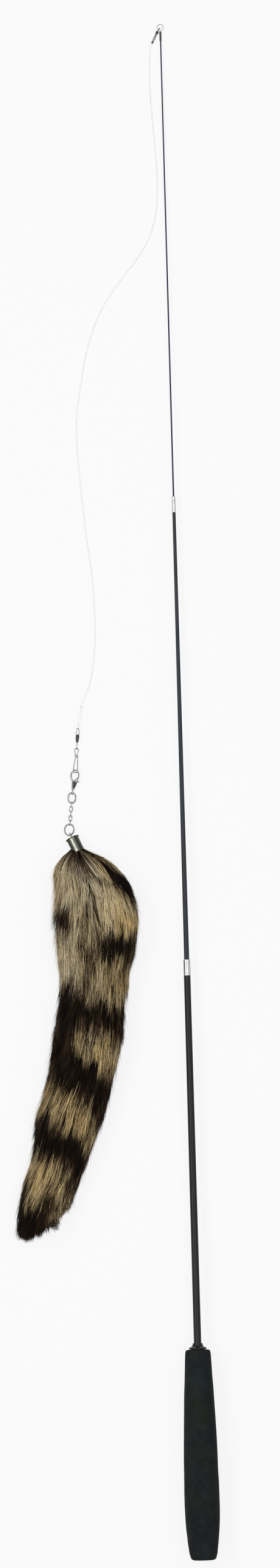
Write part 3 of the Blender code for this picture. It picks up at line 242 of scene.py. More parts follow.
# Where the hair ends: place across from the left edge (-1) to the right edge (1), millimetres below the cap
TAIL_END = ((-1, 246.5), (-0.6, 248.5), (0, 245), (0.4, 240), (0.75, 233.5), (1, 228))
TAIL_FLAT_DEPTH = 0.5 * MM
STRANDS_IN_PIECE = 8600
SORTED_AT_ONCE = 4000

# Markings of the fur. Each is a soft patch: share of the length, place across from the left edge (-1)
# to the right edge (1), half length, half width, slope of its band, how dark, how golden, how pale
MARKINGS = (
    (0.06, -0.7, 0.06, 0.4, 0, 0.44, 0, 0.3),
    (0.09, 0, 0.09, 0.4, 0, 0.34, 0, 0.55),
    (0.045, 0.75, 0.026, 0.3, 0, 0.1, 0.8, 0.1),
    (0.17, 0.45, 0.054, 0.46, 0, 0, 0.45, 0.35),
    (0.2, 0.75, 0.024, 0.24, 0, 0, 1, 0),
    (0.13, -0.72, 0.034, 0.26, 0, 0, 0.3, 0.5),
    (0.24, -0.68, 0.048, 0.28, 0, 0, 0.2, 0.6),
    (0.335, -0.62, 0.038, 0.38, 0.02, 0, 0.25, 0.65),
    (0.045, -0.92, 0.05, 0.26, 0, 0, 0.1, 0.45),
    (0.335, 0.62, 0.046, 0.36, 0, 0.34, 0.75, 0.1),
    (0.515, 0.22, 0.052, 0.7, 0.05, 0.18, 0.95, 0),
    (0.48, 0.1, 0.022, 0.22, 0, 0, 0.2, 0.6),
    (0.64, -0.44, 0.04, 0.54, 0.06, 0.32, 0.85, 0),
    (0.71, 0.33, 0.046, 0.54, 0.06, 0.16, 1, 0),
    (0.868, -0.1, 0.056, 0.85, 0.05, 0.36, 0.8, 0),
    (0.85, -0.35, 0.028, 0.34, 0, 0, 1, 0),
    (0.185, -0.84, 0.03, 0.22, 0, 0.85, 0, 0),
    (0.3, -0.2, 0.046, 0.24, 0, 0.44, 0.3, 0),
    (0.225, -0.25, 0.054, 0.2, 0, 0.46, 0.2, 0.1),
    (0.093, 0.86, 0.042, 0.26, 0.05, 1, 0, 0),
    (0.256, 0.58, 0.036, 0.48, 0, 1, 0, 0),
    (0.418, -0.46, 0.05, 0.64, 0.05, 1, 0, 0),
    (0.44, 0.52, 0.038, 0.54, 0.02, 0.96, 0, 0),
    (0.48, 0.92, 0.034, 0.18, 0, 0.75, 0, 0),
    (0.49, -0.8, 0.046, 0.34, 0, 0.92, 0, 0),
    (0.58, -0.22, 0.046, 0.82, 0.045, 1, 0, 0),
    (0.622, 0.62, 0.046, 0.46, 0.02, 0.97, 0, 0),
    (0.672, 0.92, 0.042, 0.2, 0, 0.82, 0, 0),
    (0.745, -0.52, 0.043, 0.58, 0.05, 1, 0, 0),
    (0.788, 0.56, 0.042, 0.56, 0.05, 0.97, 0, 0),
    (0.872, 0.92, 0.052, 0.26, 0, 0.74, 0, 0),
    (0.905, 0.3, 0.03, 0.6, 0.04, 0.56, 0.3, 0),
    (0.89, -1, 0.05, 0.2, 0, 0.8, 0, 0),
    (0.948, -0.5, 0.036, 0.8, 0.02, 0.95, 0, 0),
    (1, 0, 0.046, 1.6, 0.02, 0.92, 0, 0),
)

# Stage and hidden pieces
SENSOR_HEIGHT = 36.0
VIEW_END = 30.0
WHITE = (1, 1, 1)
INNER_PARTS = {"mid_bush": "brass", "tip_bush": "brass", "clasp_pin": "bare_steel",
               "clasp_spring": "bare_steel", "tail_core": "hide"}


# Sizes and colours

def size(name, description, default):
    return FloatProperty(name=name, description=description, default=default, unit="LENGTH", precision=5)


def colour(name, description, default):
    return FloatVectorProperty(name=name, description=description, default=default, subtype="COLOR",
                               size=3, min=0.0, max=1.0)


class WandSizes(bpy.types.PropertyGroup):
    """Sizes of the grip and the three sections"""
    grip_length: size("Grip length", "Length of the foam", 0.1352)
    grip_top: size("Grip top radius", "Radius of the foam at its top", 0.0081)
    grip_belly: size("Grip belly radius", "Largest radius of the foam", 0.01133)
    grip_butt: size("Grip butt radius", "Radius of the foam at its foot", 0.0084)
    collar_radius: size("Collar radius", "Radius of the collar's flange", 0.00565)
    collar_length: size("Collar length", "Length of the collar", 0.0039)
    base_shown: size("Base section", "From the grip to the top of its ferrule", 0.2508)
    base_top: size("Base top radius", "Radius of the base tube at its top", 0.00214)
    base_ferrule: size("Base ferrule radius", "Radius of the base section's ferrule", 0.00228)
    base_ferrule_length: size("Base ferrule length", "Length of the base section's ferrule", 0.0103)
    mid_shown: size("Middle section", "From ferrule to ferrule", 0.2978)
    mid_foot: size("Middle foot radius", "Radius of the middle tube at its foot", 0.00168)
    mid_top: size("Middle top radius", "Radius of the middle tube at its top", 0.00106)
    mid_ferrule: size("Middle ferrule radius", "Radius of the middle section's ferrule", 0.00118)
    mid_ferrule_length: size("Middle ferrule length", "Length of the middle section's ferrule", 0.0102)
    tip_shown: size("Tip section", "From the ferrule to the tip's sleeve", 0.2932)
    tip_foot: size("Tip foot radius", "Radius of the tip rod at its foot", 0.00053)
    tip_top: size("Tip top radius", "Radius of the tip rod at its top", 0.00044)
    sleeve_radius: size("Tip sleeve radius", "Radius of the sleeve on the tip", 0.00068)
    sleeve_length: size("Tip sleeve length", "Length of the sleeve on the tip", 0.006)
    eye_half_width: size("Tip eye half width", "Half the width of the wire eye", 0.00195)
    eye_height: size("Tip eye height", "Height of the wire eye above its sleeve", 0.0047)


class HardwareSizes(bpy.types.PropertyGroup):
    """Sizes of the line and of all that hangs between it and the tail"""
    line_diameter: size("Line diameter", "Diameter of the clear line", 0.0008)
    barrel_length: size("Barrel length", "Length of the swivel's barrel", 0.0051)
    barrel_radius: size("Barrel radius", "Radius of the swivel's barrel", 0.00115)
    snap_length: size("Snap length", "Between the centres of the snap's end bows", 0.0157)
    snap_wire: size("Snap wire radius", "Radius of the snap's wire", 0.00033)
    clasp_thickness: size("Clasp thickness", "Thickness of the clasp's body", 0.0023)
    ring_wire: size("Ring wire radius", "Radius of the jump rings' wire", 0.0005)
    upper_ring_half_width: size("Upper ring half width", "Half the width of the upper ring", 0.0024)
    upper_ring_length: size("Upper ring length", "Length of the upper ring", 0.0068)
    lower_ring_half_width: size("Lower ring half width", "Half the width of the lower ring", 0.00295)
    lower_ring_length: size("Lower ring length", "Length of the lower ring", 0.0073)
    chain_wire: size("Chain wire radius", "Radius of the links' wire", 0.0003)
    chain_half_width: size("Link half width", "Half the width of a link", 0.0009)
    chain_length: size("Link length", "Length of a link", 0.00376)
    chain_links: IntProperty(name="Links", description="Number of links in the chain", default=5)
    cap_radius: size("Cap radius", "Radius of the metal cap", 0.00395)
    cap_length: size("Cap length", "Length of the metal cap", 0.0092)


class TailSizes(bpy.types.PropertyGroup):
    """Size of the tail and of its hair"""
    length: size("Tail length", "Length of the tail below its cap", 0.252)
    width: size("Tail width", "Greatest width of the tail", 0.0538)
    flatness: FloatProperty(name="Flatness", description="Height of the tail over its width",
                            default=0.55, subtype="FACTOR", min=0.1, max=1.0)
    hair_length: size("Hair length", "Usual length of a lock of hair", 0.027)
    hair_width: size("Hair width", "Width of one strand", 0.00031)
    hair_depth: size("Hair depth", "How far below the outline the hair starts", 0.0046)
    strands: IntProperty(name="Strands", description="Number of strands", default=44000)
    locks: IntProperty(name="Locks", description="Number of locks that the strands gather into",
                       default=1150)
    seed: IntProperty(name="Seed", description="Start of the hair's random numbers", default=7)


class FinishColours(bpy.types.PropertyGroup):
    """Colours of the finishes"""
    foam: colour("Foam", "Colour of the grip's foam", (0.008, 0.0104, 0.0104))
    black: colour("Black lacquer", "Colour of the base section and collar", (0.006, 0.006, 0.007))
    slate: colour("Slate lacquer", "Colour of the middle section", (0.014, 0.018, 0.023))
    navy: colour("Navy lacquer", "Colour of the tip section", (0.024, 0.02, 0.05))
    steel: colour("Steel", "Colour of the bare ferrules", (0.54, 0.54, 0.55))
    nickel: colour("Nickel", "Colour of the plated hardware", (0.3, 0.31, 0.32))
    pewter: colour("Pewter", "Colour of the cap", (0.15, 0.15, 0.126))
    tan: colour("Tan fur", "Pale agouti colour of the fur", (0.93, 0.76, 0.44))
    golden: colour("Golden fur", "Warm colour of the fur", (0.86, 0.6, 0.23))
    brown: colour("Brown fur", "Middle colour of the fur", (0.125, 0.072, 0.036))
    black_fur: colour("Black fur", "Darkest colour of the fur", (0.0032, 0.002, 0.0014))
    pale_fur: colour("Pale fur", "Whitish tips of the fur", (0.97, 0.88, 0.66))


class StageSettings(bpy.types.PropertyGroup):
    """Camera and light"""
    view_centre: FloatVectorProperty(name="View centre", description="Point in the middle of the view",
                                     default=(0.02335, 0.0057), size=2, unit="LENGTH")
    view_height: size("View height", "Length of the table that the view covers", 1.0088)
    distance: size("Camera height", "Height of the camera above the table", 8.0)
    roll: FloatProperty(name="Camera roll", description="Turn of the camera about its view",
                        default=math.radians(-1.626), subtype="ANGLE")
    key: FloatProperty(name="Key light", description="Power of the long softbox in watts", default=9.0)
    fill: FloatProperty(name="Fill light", description="Power of the overhead softbox in watts",
                        default=7.0)


# Node maths

def formula(operation, swapped=False):
    """A method that joins a signal to a signal or number by a maths node."""
    def method(self, other):
        return self.math(operation, *((other, self) if swapped else (self, other)))
    return method


class Signal:
    """The output of a node, used in a formula like a number. Colours and vectors go through mix and
    through vector nodes."""

    def __init__(self, nodes, socket):
        self.nodes, self.socket = nodes, socket

    def math(self, operation, *values):
        return self.nodes.node("ShaderNodeMath", {"operation": operation}, dict(enumerate(values)))

    def size(self):
        return self.math("ABSOLUTE", self)

    __add__ = __radd__ = formula("ADD")
    __sub__, __rsub__ = formula("SUBTRACT"), formula("SUBTRACT", True)
    __mul__ = __rmul__ = formula("MULTIPLY")
    __truediv__, __rtruediv__ = formula("DIVIDE"), formula("DIVIDE", True)
    most = formula("MAXIMUM")


class Nodes:
    """A node tree that is built up from formulas."""

    def __init__(self, tree):
        self.tree = tree

    def node(self, kind, settings=None, sockets=None, output=0):
        """A node of a kind, with its settings first and then the values or links of its sockets."""
        made = self.tree.nodes.new(kind)
        for name, value in (settings or {}).items():
            if name == "stops":
                stops = made.color_ramp.elements
                for place, shade in value:
                    stop = {0.0: stops[0], 1.0: stops[-1]}.get(place) or stops.new(place)
                    stop.color = (*shade, 1)
            else:
                setattr(made, name, value)
        for name, value in (sockets or {}).items():
            self.feed(made.inputs[name], value)
        return Signal(self, made.outputs[output])

    def feed(self, socket, value):
        """Links a socket to a signal, or sets its value."""
        if isinstance(value, Signal):
            self.tree.links.new(value.socket, socket)
        else:
            socket.default_value = (*value, 1) if socket.type == "RGBA" else value

    def parts(self, vector):
        outputs = self.node("ShaderNodeSeparateXYZ", sockets={0: vector}).socket.node.outputs
        return [Signal(self, output) for output in outputs]

    def ramp(self, value, low, high, to_low=0.0, to_high=1.0):
        return self.node("ShaderNodeMapRange", sockets={
            "Value": value, "From Min": low, "From Max": high, "To Min": to_low, "To Max": to_high})

    def seen(self):
        """1 where a background is looked at: straight from the camera, in metal or through clear pieces."""
        camera, metal, clear = (self.node("ShaderNodeLightPath", output="Is %s Ray" % kind)
                                for kind in ("Camera", "Glossy", "Transmission"))
        return camera.most(metal).most(clear)

    def blend(self, share, first, second):
        return self.node("ShaderNodeMixShader", sockets={0: share, 1: first, 2: second})

    def show(self, shader, end):
        self.feed(self.tree.nodes[end].inputs["Surface"], shader)


class Finish(Nodes):
    """A material and its nodes. Its patterns lie in the model's frame, or in the piece's own frame where
    own is true."""

    def __init__(self, name, own=False):
        self.material = bpy.data.materials.new("teaser_" + name)
        self.material.use_nodes = True
        self.own = own
        super().__init__(self.material.node_tree)
        self.surface = self.tree.nodes["Principled BSDF"]

    def set(self, **values):
        """Feeds the surface's own sockets, where an underscore in a name stands for a space, and gives
        the material."""
        for name, value in values.items():
            self.feed(self.surface.inputs[name.replace("_", " ")], value)
        return self.material

    def mix(self, share, first, second):
        return self.node("ShaderNodeMix", {"data_type": "RGBA"}, {0: share, 6: first, 7: second}, 2)

    def noted(self, name, output):
        """What is noted at each point of the piece under a name."""
        return self.node("ShaderNodeAttribute", {"attribute_name": name}, output=output)

    def place(self, scale=(1, 1, 1), own=False):
        """Places on the piece in metres, stretched by scale."""
        source = (self.noted("own", "Vector") if own or self.own
                  else self.node("ShaderNodeTexCoord", output="Object"))
        return self.node("ShaderNodeVectorMath", {"operation": "MULTIPLY"}, {0: source, 1: scale})

    def around(self):
        """The angle round the piece's axis, and the place along it."""
        across, up, along = self.parts(self.place())
        return across.math("ARCTAN2", across, up * -1.0), along

    def cloud(self, grain, detail=3.0, roughness=0.5, stretch=(1, 1, 1), distortion=0.0):
        """Soft noise with features of about the grain, in metres."""
        return self.node("ShaderNodeTexNoise", sockets={
            "Vector": self.place(stretch), "Scale": 1 / grain, "Detail": detail, "Roughness": roughness,
            "Distortion": distortion})

    def cells(self, grain):
        return self.node("ShaderNodeTexVoronoi", sockets={"Vector": self.place(), "Scale": 1 / grain})

    def bump(self, height, depth, strength=1.0):
        return self.node("ShaderNodeBump", sockets={"Height": height, "Distance": depth,
                                                    "Strength": strength})


# Finishes

def toned(base, *tones):
    """A colour made lighter or darker by one tone, or by one for each channel."""
    return tuple(value * tone for value, tone in zip(base, tones * (3 // len(tones))))


def foam_finish(name, base):
    """Closed-cell foam: charcoal, faintly mottled, with small pores and a few creases from use, both darkened
    with painted shade.
    """
    finish = Finish(name, own=True)
    warm = finish.ramp(finish.cloud(0.019, 3), 0.46, 0.7)
    cool = finish.ramp(finish.cloud(0.027, 2, stretch=(1.2, 1, 0.8)), 0.5, 0.72)
    light = finish.ramp(finish.cloud(0.006, 5, 0.65), 0.34, 0.72)
    shade = finish.mix(warm, base, toned(base, 1.75, 1.45, 1.05))
    shade = finish.mix(cool * 0.8, shade, toned(base, 0.95, 1.35, 1.65))
    shade = finish.mix(light * 0.5, shade, toned(base, 2.2, 2.1, 2.05))
    angle, along = finish.around()
    wander = finish.cloud(0.011, 2, stretch=(0, 0, 1)) * 0.45 - 0.225
    creases = 0.0
    for turn, low, high, width in FOAM_CREASES:
        near = 1.0 - (angle - (wander + turn)).size() / width
        inside = finish.ramp(along, low, low + 0.004) * finish.ramp(along, high - 0.004, high, 1.0, 0.0)
        creases = (near.most(0.0) * inside).most(creases)
    pores = finish.ramp(finish.cells(0.00062), 0.1, 0.42)
    speck = finish.ramp(finish.cloud(0.0011, 4, 0.7), 0.58, 0.78)
    shade = finish.mix(speck * 0.5, shade, toned(base, 4.0, 3.7, 3.5))
    # Painted shade: the middles of the pores and the creases are darkened, as shade in these hollows.
    shade = finish.mix((1.0 - pores) * 0.55, shade, toned(base, 0.35))
    shade = finish.mix(creases * 0.8, shade, toned(base, 0.3))
    height = pores * 0.45 + finish.cloud(0.0032, 4, 0.6) * 0.9 - creases * 2.2
    return finish.set(Base_Color=shade, Roughness=finish.ramp(light, 0, 1, 0.9, 0.74),
                      Specular_IOR_Level=0.1, Normal=finish.bump(height, 0.00022))


def rubber_finish(name):
    finish = Finish(name)
    worn = finish.ramp(finish.cloud(0.0016, 4, 0.6), 0.45, 0.75)
    return finish.set(Base_Color=finish.mix(worn, (0.011, 0.011, 0.011), (0.035, 0.034, 0.033)),
                      Roughness=finish.ramp(worn, 0, 1, 0.55, 0.78),
                      Normal=finish.bump(finish.cloud(0.0005, 3), 0.00004))


def lacquer_finish(name, base, warmth, gloss):
    """Gloss paint on a drawn tube: faint lengthwise drawing marks, dust and rubbed patches."""
    finish = Finish(name, own=True)
    drawn = finish.cloud(0.00085, 3, 0.6, stretch=(1, 1, 0.02))
    rubbed = finish.ramp(finish.cloud(0.017, 4, 0.6, stretch=(1, 1, 0.35)), 0.48, 0.72)
    dust = finish.ramp(finish.cloud(0.00055, 3, 0.7), 0.64, 0.78)
    lighter = tuple(value + warmth for value in toned(base, 2.2))
    shade = finish.mix(rubbed * 0.6 + drawn * 0.25, base, lighter)
    shade = finish.mix(dust * 0.22, shade, (0.1, 0.1, 0.1))
    rough = finish.ramp(rubbed + dust, 0.0, 1.4, gloss, gloss + 0.2)
    return finish.set(Base_Color=shade, Roughness=rough, Coat_Weight=finish.ramp(rubbed, 0, 1, 0.07, 0.03),
                      Coat_Roughness=0.12, Specular_IOR_Level=0.17,
                      Normal=finish.bump(drawn, 0.00003, 0.6))


def turned_metal_finish(name, base, low, high, marks):
    """Bare metal turned on a lathe, with fine marks round its axis and a few rubbed spots."""
    finish = Finish(name, own=True)
    rings = finish.cloud(marks, 3, 0.65, stretch=(0.02, 0.02, 1))
    worn = finish.ramp(finish.cloud(0.0024, 4, 0.65), 0.42, 0.72)
    shade = finish.mix(finish.ramp(rings, 0.3, 0.68) * 0.55, base, toned(base, 0.55))
    shade = finish.mix(worn * 0.35, shade, toned(base, 0.72))
    return finish.set(Base_Color=shade, Metallic=1.0,
                      Roughness=finish.ramp(rings * 0.5 + worn * 0.5, 0.1, 0.8, low, high),
                      Normal=finish.bump(rings, 0.00002, 0.7))


def plated_finish(name, base, low, high, tarnish, cast=False):
    """Polished plate on formed wire and castings: fine scratches and a little tarnish in the hollows. A
    casting's body has a painted dark reflection, near black, on one side of its narrowing part below the ring."""
    finish = Finish(name)
    cloudy = finish.ramp(finish.cloud(0.0016, 4, 0.6), 0.4, 0.6)
    scratch = finish.ramp(finish.cloud(0.00032, 2, stretch=(1, 0.12, 1), distortion=0.5), 0.6, 0.7)
    shade = finish.mix(cloudy * tarnish, base, toned(base, 0.3, 0.28, 0.25))
    shade = finish.mix(scratch * 0.35, shade, (0.8, 0.8, 0.8))
    if cast:
        # Painted dark reflection: one side of the cast body's narrowing part is painted near black.
        across, up, along = finish.parts(finish.place(own=True))
        painted_dark_reflection = finish.ramp(across + along * 0.16, -0.00175, -0.00145) * finish.ramp(along, -0.0104, -0.01)
        painted_dark_reflection = painted_dark_reflection * finish.ramp(along, -0.0058, -0.0062)
        shade = finish.mix(painted_dark_reflection * finish.ramp(cloudy, 0, 1, 0.95, 0.85), shade, (0.022, 0.022, 0.022))
    return finish.set(Base_Color=shade, Metallic=1.0,
                      Roughness=finish.ramp(cloudy + scratch * 0.5, 0.0, 1.3, low, high),
                      Normal=finish.bump(scratch, 0.000015, 0.5))


def pewter_finish(name, base):
    """The cap: greenish grey metal, with a painted highlight and painted shade in streaks down its side,
    set by the angle round its axis.
    """
    finish = Finish(name, own=True)
    angle = finish.around()[0]
    wander = finish.cloud(0.003, 3, 0.6, stretch=(1, 1, 0.12))
    turn = angle / (2 * math.pi) + 0.5 + (wander - 0.5) * 0.06
    # Painted highlight and painted shade: the colour follows the angle round the cap, brightest on its upper
    # side.
    stops = [(place, toned(base, tone)) for place, tone in CAP_PAINTED_LIGHT_STREAKS]
    shade = finish.node("ShaderNodeValToRGB", {"stops": stops}, {0: turn})
    fine = finish.cloud(0.0006, 4, 0.6, stretch=(1, 1, 0.05))
    spots = finish.ramp(finish.cloud(0.0011, 4, 0.7), 0.55, 0.75)
    shade = finish.mix(finish.ramp(fine, 0.4, 0.66) * 0.65, shade, (0.022, 0.02, 0.015))
    shade = finish.mix(spots * 0.35, shade, (0.06, 0.05, 0.035))
    return finish.set(Base_Color=shade, Metallic=0.9,
                      Roughness=finish.ramp(fine + spots, 0.4, 1.5, 0.3, 0.5),
                      Normal=finish.bump(fine, 0.00006, 0.7))


def mottled_finish(name, low, high, rough, pattern, own=False, depth=0.0, grain=0.0, **surface):
    """A mix of two colours. Its relief follows the same pattern, or cells of the size of a grain."""
    finish = Finish(name, own)
    mottled = finish.cloud(**pattern)
    if depth:
        surface["Normal"] = finish.bump(finish.cells(grain) if grain else mottled, depth)
    return finish.set(Base_Color=finish.mix(mottled, low, high),
                      Roughness=finish.ramp(mottled, 0.3, 0.7, *rough), **surface)


def nylon_finish(name, low, high, clear):
    """Monofilament, faintly cloudy."""
    return mottled_finish(name, low, high, (0.05, 0.16), {"grain": 0.009}, Transmission_Weight=clear,
                          IOR=1.53)


def sleeve_finish(name):
    return mottled_finish(name, (0.01, 0.008, 0.01), (0.06, 0.048, 0.055), (0.45, 0.65),
                          {"grain": 0.00035, "detail": 2, "stretch": (1, 1, 0.4)}, True, 0.00006)


def hide_finish(name):
    return mottled_finish(name, (0.3, 0.2, 0.12), (0.52, 0.4, 0.28), (0.7, 0.85),
                          {"grain": 0.008, "detail": 4, "roughness": 0.6}, False, 0.0001, 0.0009)


def hair_finish(name):
    """Strands take their colour from the markings that are laid on them."""
    finish = Finish(name)
    coat = finish.noted("coat", "Color")
    cloudy = finish.cloud(0.003, 2)
    shade = finish.mix(finish.ramp(cloudy, 0.35, 0.75) * 0.25, coat,
                       finish.mix(0.5, coat, (0.02, 0.014, 0.01)))
    return finish.set(Base_Color=shade, Roughness=finish.ramp(cloudy, 0.3, 0.7, 0.52, 0.66),
                      Specular_IOR_Level=0.06)


def pelt_finish(name):
    """Dense underfur below the strands: the same markings, darker and streaked along the hair."""
    finish = Finish(name)
    streaks = finish.cloud(0.0012, 3, 0.6, stretch=(1, 0.1, 1))
    shade = finish.mix(finish.ramp(streaks, 0.35, 0.65) * 0.8, finish.noted("coat", "Color"),
                       (0.03, 0.02, 0.014))
    return finish.set(Base_Color=shade, Roughness=finish.ramp(streaks, 0.3, 0.7, 0.8, 0.95),
                      Normal=finish.bump(streaks, 0.0006))


def finish_for(name):
    """The finish of a slot of the record or of one piece, made once. The packed model's own materials
    have other names."""
    colours = bpy.context.scene.teaser_colours
    make, *values = {
        "foam": (foam_finish, colours.foam),
        "rubber": (rubber_finish,),
        "gunmetal": (pewter_finish, colours.pewter),
        "gloss_black": (lacquer_finish, colours.black, 0.002, 0.14),
        "collar_black": (lacquer_finish, colours.black, 0.0, 0.08),
        "slate_coat": (lacquer_finish, colours.slate, 0.003, 0.2),
        "navy_coat": (lacquer_finish, colours.navy, 0.004, 0.22),
        "bare_steel": (turned_metal_finish, colours.steel, 0.16, 0.34, 0.0002),
        "brass": (turned_metal_finish, (0.62, 0.42, 0.15), 0.25, 0.45, 0.0002),
        "dark_steel": (turned_metal_finish, (0.058, 0.058, 0.056), 0.24, 0.42, 0.0003),
        "nickel": (plated_finish, colours.nickel, 0.12, 0.32, 0.75),
        "nickel_casting": (plated_finish, colours.nickel, 0.14, 0.34, 0.7, True),
        "clear_line": (nylon_finish, (0.84, 0.86, 0.89), (0.93, 0.94, 0.95), 0.88),
        # The loop and its crimp at the tip are drawn dark grey and less clear than the line.
        "smoked_line": (nylon_finish, (0.05, 0.045, 0.05), (0.12, 0.11, 0.12), 0.25),
        "dark_sleeve": (sleeve_finish,),
        "hide": (hide_finish,),
        "fur_hair": (hair_finish,),
        "fur_pelt": (pelt_finish,),
    }[name]
    return bpy.data.materials.get("teaser_" + name) or make(name, *values)


# Shapes

def upward(height):
    return Vector((0, 0, height))


def arc(half_width, half_height, start, end, steps, centre=(0.0, 0.0)):
    """Points (across, along) of an elliptical arc. Its angles run clockwise from its top, in degrees."""
    start, end = math.radians(start), math.radians(end)
    points = []
    for number in range(steps + 1):
        angle = start + (end - start) * number / steps
        points.append((centre[0] + half_width * math.sin(angle), centre[1] + half_height * math.cos(angle)))
    return points


def corner(edge, radius, height, start=0, end=90, steps=4):
    """An outer corner of a turned profile, rounded off by edge. Past 90 degrees it is a lower corner."""
    return arc(edge, edge, start, end, steps, (radius - edge, height + (edge if end > 90 else -edge)))


def rounded(edge, radius, top, foot, side=(), steps=4):
    """The outside of a turned profile from top to foot, with rounded corners."""
    return [*corner(edge, radius, top, steps=steps), *side, *corner(edge, radius, foot, 90, 180, steps)]


def stadium(half_width, top, bottom, steps):
    """Points (across, along) of a loop with round ends and straight sides."""
    return (arc(half_width, half_width, -90, 90, steps, (0.0, top - half_width))
            + arc(half_width, half_width, 90, 270, steps, (0.0, bottom + half_width)))


def rolled(points, roll=0.0):
    """Points (across, along, aside) set in space, turned about Z by roll: 0 lies flat, 90 degrees on
    edge. A point may leave out how far aside of its plane it lies."""
    turn = Matrix.Rotation(math.radians(roll), 3, "Z")
    return [turn @ Vector((point[0], point[2] if len(point) > 2 else 0.0, point[1])) for point in points]


def smooth(points, count):
    """count points, evenly spaced, on a smooth curve through the given points."""
    ends = [points[0] * 2 - points[1], *points, points[-1] * 2 - points[-2]]
    fine = []
    for a, b, c, d in zip(ends, ends[1:], ends[2:], ends[3:]):
        for number in range(CURVE_STEPS):
            t = number / CURVE_STEPS
            fine.append(0.5 * (2 * b + (c - a) * t + (2 * a - 5 * b + 4 * c - d) * t * t
                               + (3 * b - a - 3 * c + d) * t ** 3))
    fine.append(points[-1])
    lengths = [0.0]
    for first, second in zip(fine, fine[1:]):
        lengths.append(lengths[-1] + (second - first).length)
    even, number = [], 0
    for step in range(count):
        wanted = lengths[-1] * step / (count - 1)
        while number < len(fine) - 2 and lengths[number + 1] < wanted:
            number += 1
        share = (wanted - lengths[number]) / (lengths[number + 1] - lengths[number])
        even.append(fine[number].lerp(fine[number + 1], min(1.0, share)))
    return even


def turned(profile, steps):
    """A shape turned about Z. The profile is (radius, z); one that starts and ends at radius 0 is solid,
    any other closes on itself."""
    shape = bmesh.new()
    points = [shape.verts.new((radius, 0, z)) for radius, z in profile]
    edges = [shape.edges.new(pair) for pair in zip(points, points[1:])]
    if profile[0][0] or profile[-1][0]:
        edges.append(shape.edges.new((points[-1], points[0])))
    bmesh.ops.spin(shape, geom=points + edges, axis=(0, 0, 1), angle=2 * math.pi, steps=steps,
                   use_merge=True)
    bmesh.ops.remove_doubles(shape, verts=shape.verts, dist=POLE_MERGE)
    bmesh.ops.recalc_face_normals(shape, faces=shape.faces)
    return shape


def grown_ring(shape, edges):
    """Extrudes a ring of edges, and gives the new ring's points and edges."""
    grown = bmesh.ops.extrude_edge_only(shape, edges=edges)["geom"]
    ring = [part for part in grown if isinstance(part, bmesh.types.BMVert)]
    return ring, [part for part in grown if isinstance(part, bmesh.types.BMEdge)
                  and all(vertex in ring for vertex in part.verts)]


def drawn_through(steps, sides, closed=False):
    """A tube drawn through frames, each of which carries a unit circle to its place."""
    shape = bmesh.new()
    ring = bmesh.ops.create_circle(shape, segments=sides, radius=1.0)["verts"]
    edges = first = shape.edges[:]
    bmesh.ops.transform(shape, matrix=steps[0], verts=ring)
    for before, after in zip(steps, steps[1:]):
        ring, edges = grown_ring(shape, edges)
        bmesh.ops.transform(shape, matrix=after @ before.inverted(), verts=ring)
    if closed:
        bmesh.ops.bridge_loops(shape, edges=edges + first)
    else:
        bmesh.ops.holes_fill(shape, edges=edges + first)
    bmesh.ops.recalc_face_normals(shape, faces=shape.faces)
    return shape


def wire(points, radius, sides=16, closed=False, swell=None):
    """A round wire along points. swell is a share of the radius for each point."""
    count = len(points)
    tangents = []
    for number in range(count):
        before = points[number - 1] if number or closed else points[0]
        after = points[(number + 1) % count] if number < count - 1 or closed else points[-1]
        tangents.append((after - before).normalized())
    turn = upward(1).rotation_difference(tangents[0]).to_matrix()
    steps = []
    for number, point in enumerate(points):
        if number:
            turn = tangents[number - 1].rotation_difference(tangents[number]).to_matrix() @ turn
        share = radius * (swell[number] if swell else 1.0)
        steps.append(Matrix.Translation(point) @ turn.to_4x4() @ Matrix.Scale(share, 4))
    return drawn_through(steps, sides, closed)


def bent_wire(points, radius):
    """An open wire with rounded ends."""
    first, last = points[0], points[-1]
    into = (points[1] - first).normalized() * radius
    back = (points[-2] - last).normalized() * radius
    route = [first, first + into * 0.35, first + into, *points[1:-1], last + back, last + back * 0.35, last]
    return wire(route, radius, swell=[0.5, 0.88] + [1.0] * (len(route) - 4) + [0.88, 0.5])


def headed_wire(heights, loop, radius, head_radius, under, sides):
    """A wire loop whose stem ends in a flat head. heights are the five levels from the head's face to
    the stem, and under is how far the head is drawn in at the fourth."""
    wide = head_radius / radius
    swell = [wide * 0.9, wide, wide, wide * under, 1.0] + [1.0] * (len(loop) - 2) + [0.9, 0.5]
    return wire([upward(height) for height in heights] + loop, radius, sides, swell=swell)


def plate(outline, thickness, edge=0.0, rows=()):
    """A flat plate in the XZ plane, as thick along Y, with rounded edges. rows are heights at which its
    faces are divided."""
    shape = bmesh.new()
    face = shape.faces.new([shape.verts.new((across, -thickness / 2, along)) for across, along in outline])
    grown = bmesh.ops.extrude_face_region(shape, geom=[face])["geom"]
    moved = [part for part in grown if isinstance(part, bmesh.types.BMVert)]
    bmesh.ops.translate(shape, vec=(0, thickness, 0), verts=moved)
    bmesh.ops.recalc_face_normals(shape, faces=shape.faces)
    if edge:
        rim = [part for part in shape.edges if abs(part.verts[0].co.y - part.verts[1].co.y) < SAME_PLACE]
        bmesh.ops.bevel(shape, geom=rim, offset=edge, offset_type="OFFSET", segments=3, profile=0.5,
                        affect="EDGES", clamp_overlap=True, material=-1)
    for height in rows:
        parts = shape.verts[:] + shape.edges[:] + shape.faces[:]
        bmesh.ops.bisect_plane(shape, geom=parts, dist=SAME_PLACE, plane_co=(0, 0, height),
                               plane_no=(0, 0, 1))
    return shape


def thinned(shape, start, end, share):
    """Thins a plate from its full thickness at height start to a share of it at height end."""
    for vertex in shape.verts:
        step = max(0.0, min(1.0, (vertex.co.z - start) / (end - start)))
        vertex.co.y *= 1.0 - (1.0 - share) * step * step * (3.0 - 2.0 * step)


